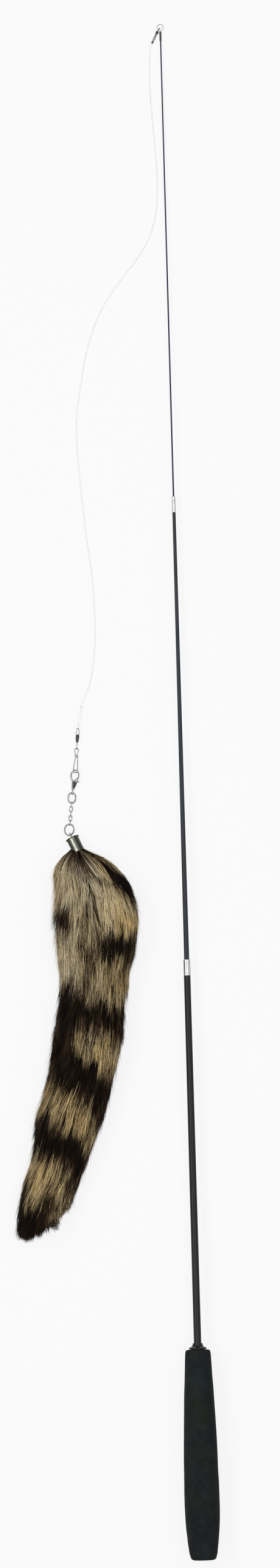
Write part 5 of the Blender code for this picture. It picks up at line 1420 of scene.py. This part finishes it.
class TEASER_OT_cap(bpy.types.Operator):
    """Make the metal cap and its eye"""
    bl_idname = "teaser.cap"
    bl_label = "Cap"

    def execute(self, context):
        sizes, places = setting(context)
        plate_top, neck = cap_plate_top(sizes)
        plate_foot, half = plate_top - CAP_PLATE, CAP_EYE_HALF_WIDTH
        points = [(0, neck), (half * 0.7, neck + 0.28 * MM), (half, neck + 1.0 * MM),
                  *arc(half, half, 90, -90, 12, (0, neck + CAP_EYE_LENGTH - half)),
                  (-half, neck + 1.0 * MM), (-half * 0.85, neck + 0.45 * MM)]
        top = plate_foot - LINK_GAP
        heights = [top + rise * MM for rise in (-0.5, -0.44, -0.06, 0.0, 0.05)]
        eye = headed_wire(heights, smooth(rolled(points, 90), 64), CAP_EYE_WIRE_RADIUS, CAP_EYE_HEAD_RADIUS,
                          0.92, 18)
        add_piece("cap_wire_eye", eye, places["cap"], "nickel", "lure", "cap_eye")
        outer, rim, wall, hole = sizes.cap_radius, CAP_RIM_RADIUS, CAP_WALL / 2, CAP_HOLE_RADIUS
        foot, waist = plate_top - sizes.cap_length - CAP_SKIRT, plate_top - CAP_RIM * 1.25
        edge = CAP_RIM * 0.3
        lip = arc(edge, edge, 0, 180, 8, (rim - edge, plate_top - edge))
        side = [(outer + 0.12 * MM, plate_top - CAP_RIM * 0.8), (outer, waist)]
        for number in range(1, 13):
            share = number / 13
            side.append((outer + CAP_WAVE * (math.sin(share * 9.0) - 1),
                         waist - (waist - foot - 0.2 * MM) * share))
        mouth = arc(wall, wall, 90, 270, 8, (outer - wall, foot + wall))
        dish = [(outer - CAP_WALL, plate_foot), (hole, plate_foot), (hole, plate_top - 0.15 * MM),
                (hole + 0.12 * MM, plate_top - 0.1 * MM), (rim * 0.62, plate_top - 0.1 * MM),
                (rim * 0.72, plate_top)]
        add_piece("cap_shell", turned(lip + side + mouth + dish, 80), places["cap"], "gunmetal", "lure",
                  "end_cap", 50)
        return {"FINISHED"}


# The tail

class TailLine:
    """The line down the middle of the tail, with the tail's half width and flatness along it. Its
    sections run straight across."""

    def __init__(self, context):
        (sizes, places), tail = setting(context), context.scene.teaser_tail
        foot = cap_plate_top(sizes)[0] - sizes.cap_length
        mouth = places["cap"] @ upward(foot - SEAT_GAP)
        inner = places["cap"] @ upward(foot + 6 * MM) - mouth
        rows = np.array(TAIL_ROWS) * MM
        rows[:, 0] *= tail.length / rows[-1, 0]
        rows[:, 1:] *= tail.width / (2 * rows[:, 2].max())
        self.length = float(rows[-1, 0])
        self.flatness = np.array([0.95, 0.95, tail.flatness, tail.flatness])
        self.flat_at = np.array([-9 * MM, 0.0, 2.2 * MM, self.length])
        down = np.r_[-inner.y, rows[:, 0], self.length + 10 * MM]
        shift = np.r_[inner.x, rows[:, 1], rows[-1, 1] - 4 * MM]
        radius = np.r_[2.8 * MM, rows[:, 2], 0.8 * MM]
        self.along = np.linspace(down[0], down[-1], 1300)
        self.radius = np.interp(self.along, down, radius)
        shift = np.interp(self.along, down, shift)
        resting = self.radius * tail.flatness - TAIL_FLAT_DEPTH + BUTT_PLACE[2]
        hung = mouth.z + inner.z * np.clip(self.along / down[0], 0, 1)
        low = np.clip(self.along / (9 * MM), 0, 1)
        rise = hung * (1 - low) + resting * low
        kernel = np.ones(13) / 13
        for values in (self.radius, shift, rise):
            values[:] = np.convolve(np.pad(values, 6, mode="edge"), kernel, mode="valid")
        self.centre = np.stack([mouth.x + shift, mouth.y - self.along, rise], -1)

    def radius_at(self, along):
        return np.interp(along, self.along, self.radius)

    def centre_at(self, along):
        return np.stack([np.interp(along, self.along, self.centre[:, axis]) for axis in range(3)], -1)

    def flatness_at(self, along):
        return np.interp(along, self.flat_at, self.flatness)

    def at(self, along, angle, depth):
        """Places on the tail: along it, round it (0 at its right edge, a quarter turn at its top), and
        below its outline by depth. Also gives the directions out of the fur."""
        place, flat = self.centre_at(along), self.flatness_at(along)
        radius = np.maximum(self.radius_at(along) - depth, 0.3 * MM)
        place[..., 0] += radius * np.cos(angle)
        place[..., 2] += radius * flat * np.sin(angle)
        return place, unit(np.stack([np.cos(angle), np.zeros_like(angle), np.sin(angle) / flat], -1))


def markings(share, across):
    """How dark, how golden and how pale the fur is, by its share of the length and place across."""
    dark, golden, pale = (np.full_like(share, level) for level in (0.18, 0.2, 0.15))
    for centre, middle, long, wide, slope, darker, warmer, paler in MARKINGS:
        run = (share - centre - slope * (across - middle)) / long
        reach = (across - middle) / wide
        weight = 1 / (1 + run ** 6) / (1 + reach ** 6)
        if darker:
            dark = dark + (np.maximum(dark, darker) - dark) * weight
        else:
            dark = dark * (1 - 0.85 * weight)
        golden = golden + (warmer - golden) * weight
        pale = pale + (paler - pale) * weight
    return dark, golden, pale


def coat_colour(colours, dark, golden, pale):
    """Colour of the fur, from tan through brown to black, warmed or paled."""
    steps = (0.0, 0.3, 0.62, 1.0)
    tan, brown, black = (np.array(getattr(colours, name)) for name in ("tan", "brown", "black_fur"))
    middle = tan * 0.45 + brown * 0.55
    stops = np.stack([tan, middle, brown * 0.72, black])
    shade = np.stack([np.interp(dark, steps, stops[:, channel]) for channel in range(3)], -1)
    light = np.clip(1 - dark * 1.3, 0, 1)
    for amount, name in ((golden, "golden"), (pale, "pale_fur")):
        share = np.clip(amount * light, 0, 1)[..., None]
        shade = shade * (1 - share) + np.array(getattr(colours, name)) * share
    return np.clip(shade, 0, 1)


def points_of(mesh):
    points = np.empty(len(mesh.vertices) * 3)
    mesh.vertices.foreach_get("co", points)
    return points.reshape(-1, 3)


def unit(vectors):
    return vectors / (np.linalg.norm(vectors, axis=-1)[..., None] + 1e-12)


def lay_coat(mesh, shades):
    layer = mesh.color_attributes.new("coat", "FLOAT_COLOR", "POINT")
    filled = np.ones((len(mesh.vertices), 4), dtype=np.float32)
    filled[:, :3] = shades
    layer.data.foreach_set("color", filled.ravel())


class TEASER_OT_pelt(bpy.types.Operator):
    """Make the dense underfur of the tail"""
    bl_idname = "teaser.pelt"
    bl_label = "Pelt"

    def execute(self, context):
        line, depth = TailLine(context), context.scene.teaser_tail.hair_depth
        last = line.length - 13 * MM
        stations = np.r_[np.linspace(-2.6 * MM, 9 * MM, 16), np.linspace(11 * MM, last, 84)]
        upright = Matrix.Rotation(math.radians(90), 4, "X")
        steps = []
        for station in stations:
            radius = float(line.radius_at(station))
            radius -= min(depth, radius * 0.42) * float(np.interp(station, [0.5 * MM, 12 * MM], [0.12, 1.0]))
            radius *= math.sqrt(max(0.04, 1 - max(0.0, (station - last) / (26 * MM) + 1) ** 2))
            grown = Matrix.Diagonal((radius, radius * float(line.flatness_at(station)), 1.0, 1.0))
            steps.append(Matrix.Translation(line.centre_at(station)) @ upright @ grown)
        shape = drawn_through(steps, 40)
        for vertex in shape.verts:
            vertex.co.z = max(vertex.co.z, 0.25 * MM)
        bmesh.ops.remove_doubles(shape, verts=shape.verts, dist=JOIN_MERGE)
        piece = add_piece("tail_pelt", shape, Matrix.Identity(4), "fur", "lure", "tail_fur", 180, "fur_pelt")
        places = points_of(piece.data)
        down = line.centre[0, 1] + line.along[0] - places[:, 1]
        across = places[:, 0] - np.interp(down, line.along, line.centre[:, 0])
        across /= np.maximum(line.radius_at(down), 1 * MM)
        dark, golden, pale = markings(down / line.length, across)
        shades = coat_colour(context.scene.teaser_colours, np.clip(dark + 0.28, 0, 1), golden, pale * 0.5)
        lay_coat(piece.data, shades)
        return {"FINISHED"}


class TEASER_OT_hair(bpy.types.Operator):
    """Grow the tail's hair in locks that lie along the tail"""
    bl_idname = "teaser.hair"
    bl_label = "Hair"

    def execute(self, context):
        tail, colours, line = context.scene.teaser_tail, context.scene.teaser_colours, TailLine(context)
        chance = np.random.default_rng(tail.seed)
        count = tail.strands // 1
        roots, angles = self.roots(chance, line, count)
        order = np.argsort(roots)
        roots, angles = roots[order], angles[order]
        locks, lock_angles = self.roots(chance, line, tail.locks)
        lock = self.nearest(line, roots, angles, locks, lock_angles)
        reaches, sways, lifts, tones = (chance.normal(middle, spread, tail.locks)[lock] for middle, spread
                                        in ((1.0, 0.16), (0, 0.17), (0.2, 1.0), (0, 1)))
        u = np.array([0.0, 0.28, 0.55, 0.8, 1.0])
        pull = chance.uniform(0.5, 0.97, count)
        length = tail.hair_length * np.clip(reaches + chance.normal(0, 0.08, count), 0.6, 1.4)
        length = length * np.interp(roots, [0.0, 16 * MM], [0.72, 1.0])
        room = np.interp(np.cos(angles), *np.array(TAIL_END).T) * line.length / TAIL_ROWS[-1][0]
        room = room + np.clip(chance.normal(0, 1.8, count), -5, 3) * MM
        roots = np.minimum(roots, room - chance.uniform(6, 16, count) * MM)
        tips = roots * (1 - pull * 0.6) + locks[lock] * pull * 0.6 + length
        tips = np.maximum(np.minimum(tips, room), roots + 4 * MM)
        near_radius = line.radius_at(tips)
        sway = sways + chance.normal(0, 0.08, count)
        gap = (lock_angles[lock] - angles + np.pi) % (2 * np.pi) - np.pi
        turn = gap * pull + sway * np.clip(14 * MM / np.maximum(near_radius, 4 * MM), 0.5, 1.6)
        along = roots[:, None] + (tips - roots)[:, None] * u
        angle = angles[:, None] + turn[:, None] * u ** 1.35
        sink = np.minimum(tail.hair_depth, line.radius_at(roots) * 0.42)
        sink *= np.interp(roots, [0.5 * MM, 3 * MM], [0.5, 1.0])
        lift = chance.normal(0.9, 0.6, count) + lifts
        shoulder = np.interp(roots, [0.0, 6 * MM, 30 * MM, 50 * MM], [0.0, 0.16, 0.1, 0.0])
        shoulder = shoulder * np.clip(-np.cos(angles), 0, 1) * 2.2
        loose = chance.random(count) < 0.05 + shoulder
        stray = chance.normal(-1.6, 1.1, count) - 5 * shoulder * chance.random(count)
        lift = np.where(loose, stray, np.clip(lift, -1.6, 3.6))
        lift = lift * MM * np.interp(roots, [0.0, 14 * MM], [0.6, 1.0])
        depth = sink[:, None] * (1 - u) ** 1.1 + lift[:, None] * u ** 1.5
        place, out = line.at(along, angle, depth)
        place = place + chance.normal(0, 0.5 * MM, (count, 1, 3)) * np.sin(u * np.pi)[None, :, None]
        place[..., 2] = np.maximum(place[..., 2], BUTT_PLACE[2] + 0.22 * MM)
        joint = 0.4 * np.interp(along[:, 3], [20 * MM, 45 * MM], [0.0, 1.0])
        share = (along[:, 3] * (1 - joint) + (locks[lock] + tail.hair_length * 0.8) * joint) / line.length
        shades = self.shades(chance, colours, share, np.cos(angle[:, 3]), tones, u)
        wide = tail.hair_width * chance.uniform(0.7, 1.25, count) * np.where(loose, 0.55, 1.0)
        pieces = math.ceil(count / STRANDS_IN_PIECE)
        for number in range(pieces):
            part = slice(number * count // pieces, (number + 1) * count // pieces)
            self.piece("tail_hair_%d" % (number + 1), place[part], out[part], wide[part], shades[part])
        return {"FINISHED"}

    def roots(self, chance, line, count):
        """Where hairs start: along the tail, more where it is wide, and round it, fewer underneath."""
        stations = np.linspace(-2.4 * MM, line.length - 7 * MM, 500)
        weight = line.radius_at(stations) + 1.5 * MM
        weight = weight + np.interp(stations, [-2.4 * MM, 2 * MM, 9 * MM], [14 * MM, 14 * MM, 0.0])
        total = np.cumsum(weight)
        along = np.interp(chance.random(count) * total[-1], total, stations)
        upper = chance.random(count) < 0.86
        angle = np.where(upper, chance.uniform(-0.3, math.pi + 0.3, count),
                         chance.uniform(math.pi, 2 * math.pi, count))
        return along, angle

    def nearest(self, line, roots, angles, locks, lock_angles):
        """Which lock each hair belongs to."""
        def spread(along, angle):
            radius = line.radius_at(along)
            return np.stack([along * 0.42, radius * np.cos(angle), radius * 0.7 * np.sin(angle)], -1)
        centres = spread(locks, lock_angles)
        found = np.empty(len(roots), dtype=int)
        places = spread(roots, angles)
        for start in range(0, len(roots), SORTED_AT_ONCE):
            part = slice(start, start + SORTED_AT_ONCE)
            found[part] = np.argmin(((places[part, None] - centres[None]) ** 2).sum(-1), axis=1)
        return found

    def shades(self, chance, colours, share, across, tone, u):
        """Colour down each strand: dark at its root, partly its own dark underfur and partly painted shade
        between the locks, then the marking's colour, then its tip.
        """
        dark, golden, pale = markings(np.clip(share, 0, 1.05), across)
        count = len(share)
        own = chance.normal(0, 1, count)
        dark = dark + (0.16 * tone + 0.13 * own) * (0.45 + dark * (1 - dark) * 2.2)
        dark = np.clip(dark + np.where(chance.random(count) < 0.18, 0.55, 0.0), 0, 1)
        golden = np.clip(golden + 0.18 * chance.normal(0, 1, count) + 0.1 * tone, 0, 1)
        pale = np.clip(pale + 0.2 * chance.normal(0, 1, count), 0, 1)
        tip = np.where(chance.random(count) < 0.24, 0.38, -0.06)
        # Darker towards the root: partly the underfur's own colour, partly painted shade deep between the
        # locks.
        underfur_and_painted_shade = np.interp(u, [0, 0.3, 0.6, 0.8, 1], [0.62, 0.3, 0.03, 0.0, 0.0])
        ends = np.interp(u, [0, 0.7, 0.85, 1], [0, 0, 0.6, 1.0])
        level = np.clip(dark[:, None] + underfur_and_painted_shade[None] + tip[:, None] * ends[None], 0, 1)
        full = np.ones_like(level)
        return coat_colour(colours, level, golden[:, None] * full, pale[:, None] * full)

    def strand(self):
        """One strand: a three-sided blade along Z that narrows to a point, four units long."""
        shape = bmesh.new()
        bmesh.ops.create_circle(shape, cap_ends=True, segments=3, radius=1.0)
        edges = shape.edges[:]
        for step in range(4):
            ring, edges = grown_ring(shape, edges)
            bmesh.ops.translate(shape, vec=(0, 0, 1.0), verts=ring)
        bmesh.ops.pointmerge(shape, verts=ring, merge_co=(0, 0, 4.0))
        bmesh.ops.recalc_face_normals(shape, faces=shape.faces)
        return shape

    def piece(self, name, place, out, wide, shades):
        """All strands of one stretch of the tail, as copies of one strand laid along their lines."""
        count = len(place)
        model = mesh_of("strand", self.strand())
        points = points_of(model)
        faces = [list(face.vertices) for face in model.polygons]
        bpy.data.meshes.remove(model)
        step = np.rint(points[:, 2]).astype(int)
        tangent = unit(np.gradient(place, axis=1))
        side = unit(np.cross(tangent, out))
        above = np.cross(side, tangent)
        girth = np.array([0.75, 1.0, 0.95, 0.66, 0.0])[step]
        across = points[:, 1] * 0.577 * girth
        rise = points[:, 0] * 0.26 * girth
        reach = wide[:, None, None]
        spots = (place[:, step] + side[:, step] * (across[None, :, None] * reach)
                 + above[:, step] * (rise[None, :, None] * reach))
        spots[..., 2] = np.maximum(spots[..., 2], BUTT_PLACE[2] + 0.05 * MM)
        starts = np.arange(count) * len(points)
        corners = np.concatenate([np.array(face)[None] + starts[:, None] for face in faces], axis=1)
        sizes = np.tile([len(face) for face in faces], count)
        mesh = bpy.data.meshes.new(name)
        mesh.vertices.add(count * len(points))
        mesh.vertices.foreach_set("co", spots.ravel())
        mesh.loops.add(corners.size)
        mesh.loops.foreach_set("vertex_index", corners.ravel())
        mesh.polygons.add(len(sizes))
        mesh.polygons.foreach_set("loop_start", np.cumsum(sizes) - sizes)
        mesh.update(calc_edges=True)
        lay_coat(mesh, shades[:, step].reshape(-1, 3))
        self.lay_out(mesh, count, points, faces)
        mesh.shade_smooth()
        mesh.materials.append(finish_for("fur_hair"))
        piece = linked(name, mesh)
        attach(piece, "lure")

    def lay_out(self, mesh, count, points, faces):
        """A layout for baking: each strand has its own cell, and its three sides lie side by side."""
        columns = math.ceil(math.sqrt(count))
        cell = 1.0 / columns
        places = []
        for face in faces:
            x, y = points[face].mean(axis=0)[:2]
            turn = math.degrees(math.atan2(y, x)) % 360
            strip = min(2, int(turn // 120))
            for x, y, z in points[face]:
                if np.ptp(points[face][:, 2]) < 0.5:
                    places.append((0.05 + 0.03 * x, 0.05 + 0.03 * y))
                    continue
                angle = math.degrees(math.atan2(y, x))
                share = 0.5 if z > 3.5 else float((angle - turn) % 360 < 180)
                places.append((0.1 + strip * 0.28 + share * 0.22, 0.12 + 0.76 * z / 4))
        number = np.arange(count)
        origin = np.stack([number % columns, number // columns], -1) * cell
        layout = origin[:, None] + np.array(places)[None] * cell
        layer = mesh.uv_layers.new(name="OFBake")
        layer.uv.foreach_set("vector", layout.ravel().astype(np.float32))


# Hidden pieces and the stage

class TEASER_OT_inner_parts(bpy.types.Operator):
    """Give the pieces that stay from the CAD model their finishes"""
    bl_idname = "teaser.inner_parts"
    bl_label = "Inner parts"

    def execute(self, context):
        for node, slot in INNER_PARTS.items():
            made = bpy.data.objects.get(node)
            if made is None:
                raise RuntimeError("the packed model has no node " + node)
            for holder in made.material_slots:
                holder.material = finish_for(slot)
        return {"FINISHED"}


def floor_finish():
    """White table. It is seen white, also through clear pieces and in metal, with its shadows kept faint."""
    finish = Finish("table")
    finish.set(Base_Color=finish.mix(finish.cloud(0.35), (0.66, 0.66, 0.66), (0.69, 0.69, 0.69)),
               Roughness=0.9, Specular_IOR_Level=0.1)
    glow = finish.node("ShaderNodeEmission", sockets={"Color": WHITE, "Strength": 1.0})
    lit = Signal(finish, finish.surface.outputs[0])
    finish.show(finish.blend(finish.seen() * 0.86, lit, glow), "Material Output")
    return finish.material


def studio_world():
    """A pale room that is brighter overhead, and plain white where it is looked at."""
    world = bpy.data.worlds.new("studio")
    world.use_nodes = True
    nodes = Nodes(world.node_tree)
    nodes.tree.nodes.remove(nodes.tree.nodes["Background"])
    walls, ceiling, white = (nodes.node("ShaderNodeBackground", sockets={"Color": WHITE, "Strength": power})
                             for power in (0.1, 0.62, 1.0))
    up = nodes.parts(nodes.node("ShaderNodeTexCoord", output="Generated"))[2]
    room = nodes.blend(nodes.ramp(up, 0.25, 0.6), walls, ceiling)
    nodes.show(nodes.blend(nodes.seen(), room, white), "World Output")
    return world


class TEASER_OT_stage(bpy.types.Operator):
    """Lay the pale table, light it softly and set plain colours"""
    bl_idname = "teaser.stage"
    bl_label = "Stage"

    def execute(self, context):
        stage = context.scene.teaser_stage
        shape = bmesh.new()
        bmesh.ops.create_grid(shape, x_segments=1, y_segments=1, size=60.0)
        table = linked("table", mesh_of("table", shape, floor_finish()))
        table.location = (0, 0, -0.1 * MM)
        self.softbox("key_softbox", (-0.75, 0.05, 1.15), (0.45, 1.7), stage.key)
        self.softbox("fill_softbox", (0.55, -0.1, 1.5), (0.9, 1.6), stage.fill)
        context.scene.world = studio_world()
        context.scene.view_settings.view_transform = "Standard"
        return {"FINISHED"}

    def softbox(self, name, place, spread, power):
        """A soft light over a place, tipped sideways towards the middle of the table."""
        data = bpy.data.lights.new(name, "AREA")
        data.shape, data.energy = "RECTANGLE", power
        data.size, data.size_y = spread
        lamp = linked(name, data)
        lamp.location = place
        lamp.rotation_euler = (0, math.atan2(-place[0], -place[2]) - math.pi, 0)


STEPS = (TEASER_OT_camera, TEASER_OT_line, TEASER_OT_grip, TEASER_OT_sections, TEASER_OT_tip,
         TEASER_OT_swivel, TEASER_OT_snap, TEASER_OT_clasp, TEASER_OT_chain, TEASER_OT_cap,
         TEASER_OT_pelt, TEASER_OT_hair, TEASER_OT_inner_parts, TEASER_OT_stage)
GROUPS = {"teaser_wand": WandSizes, "teaser_hardware": HardwareSizes, "teaser_tail": TailSizes,
          "teaser_colours": FinishColours, "teaser_stage": StageSettings}


class TEASER_PT_panel(bpy.types.Panel):
    """Makes the teaser wand piece by piece"""
    bl_idname = "TEASER_PT_panel"
    bl_label = "Teaser Wand"
    bl_space_type = "VIEW_3D"
    bl_region_type = "UI"
    bl_category = "Teaser"

    def draw(self, context):
        for step in STEPS:
            self.layout.operator(step.bl_idname)
        for name, group in GROUPS.items():
            box = self.layout.box()
            box.label(text=group.__doc__)
            for key in group.__annotations__:
                box.prop(getattr(context.scene, name), key)


def register():
    for made in (*GROUPS.values(), *STEPS, TEASER_PT_panel):
        bpy.utils.register_class(made)
    for name, group in GROUPS.items():
        setattr(bpy.types.Scene, name, PointerProperty(type=group))


def unregister():
    for name in GROUPS:
        delattr(bpy.types.Scene, name)
    for made in reversed((*GROUPS.values(), *STEPS, TEASER_PT_panel)):
        bpy.utils.unregister_class(made)


def main():
    register()
    for step in STEPS:
        getattr(bpy.ops.teaser, step.bl_idname.split(".")[1])()


if __name__ == "__main__":
    main()
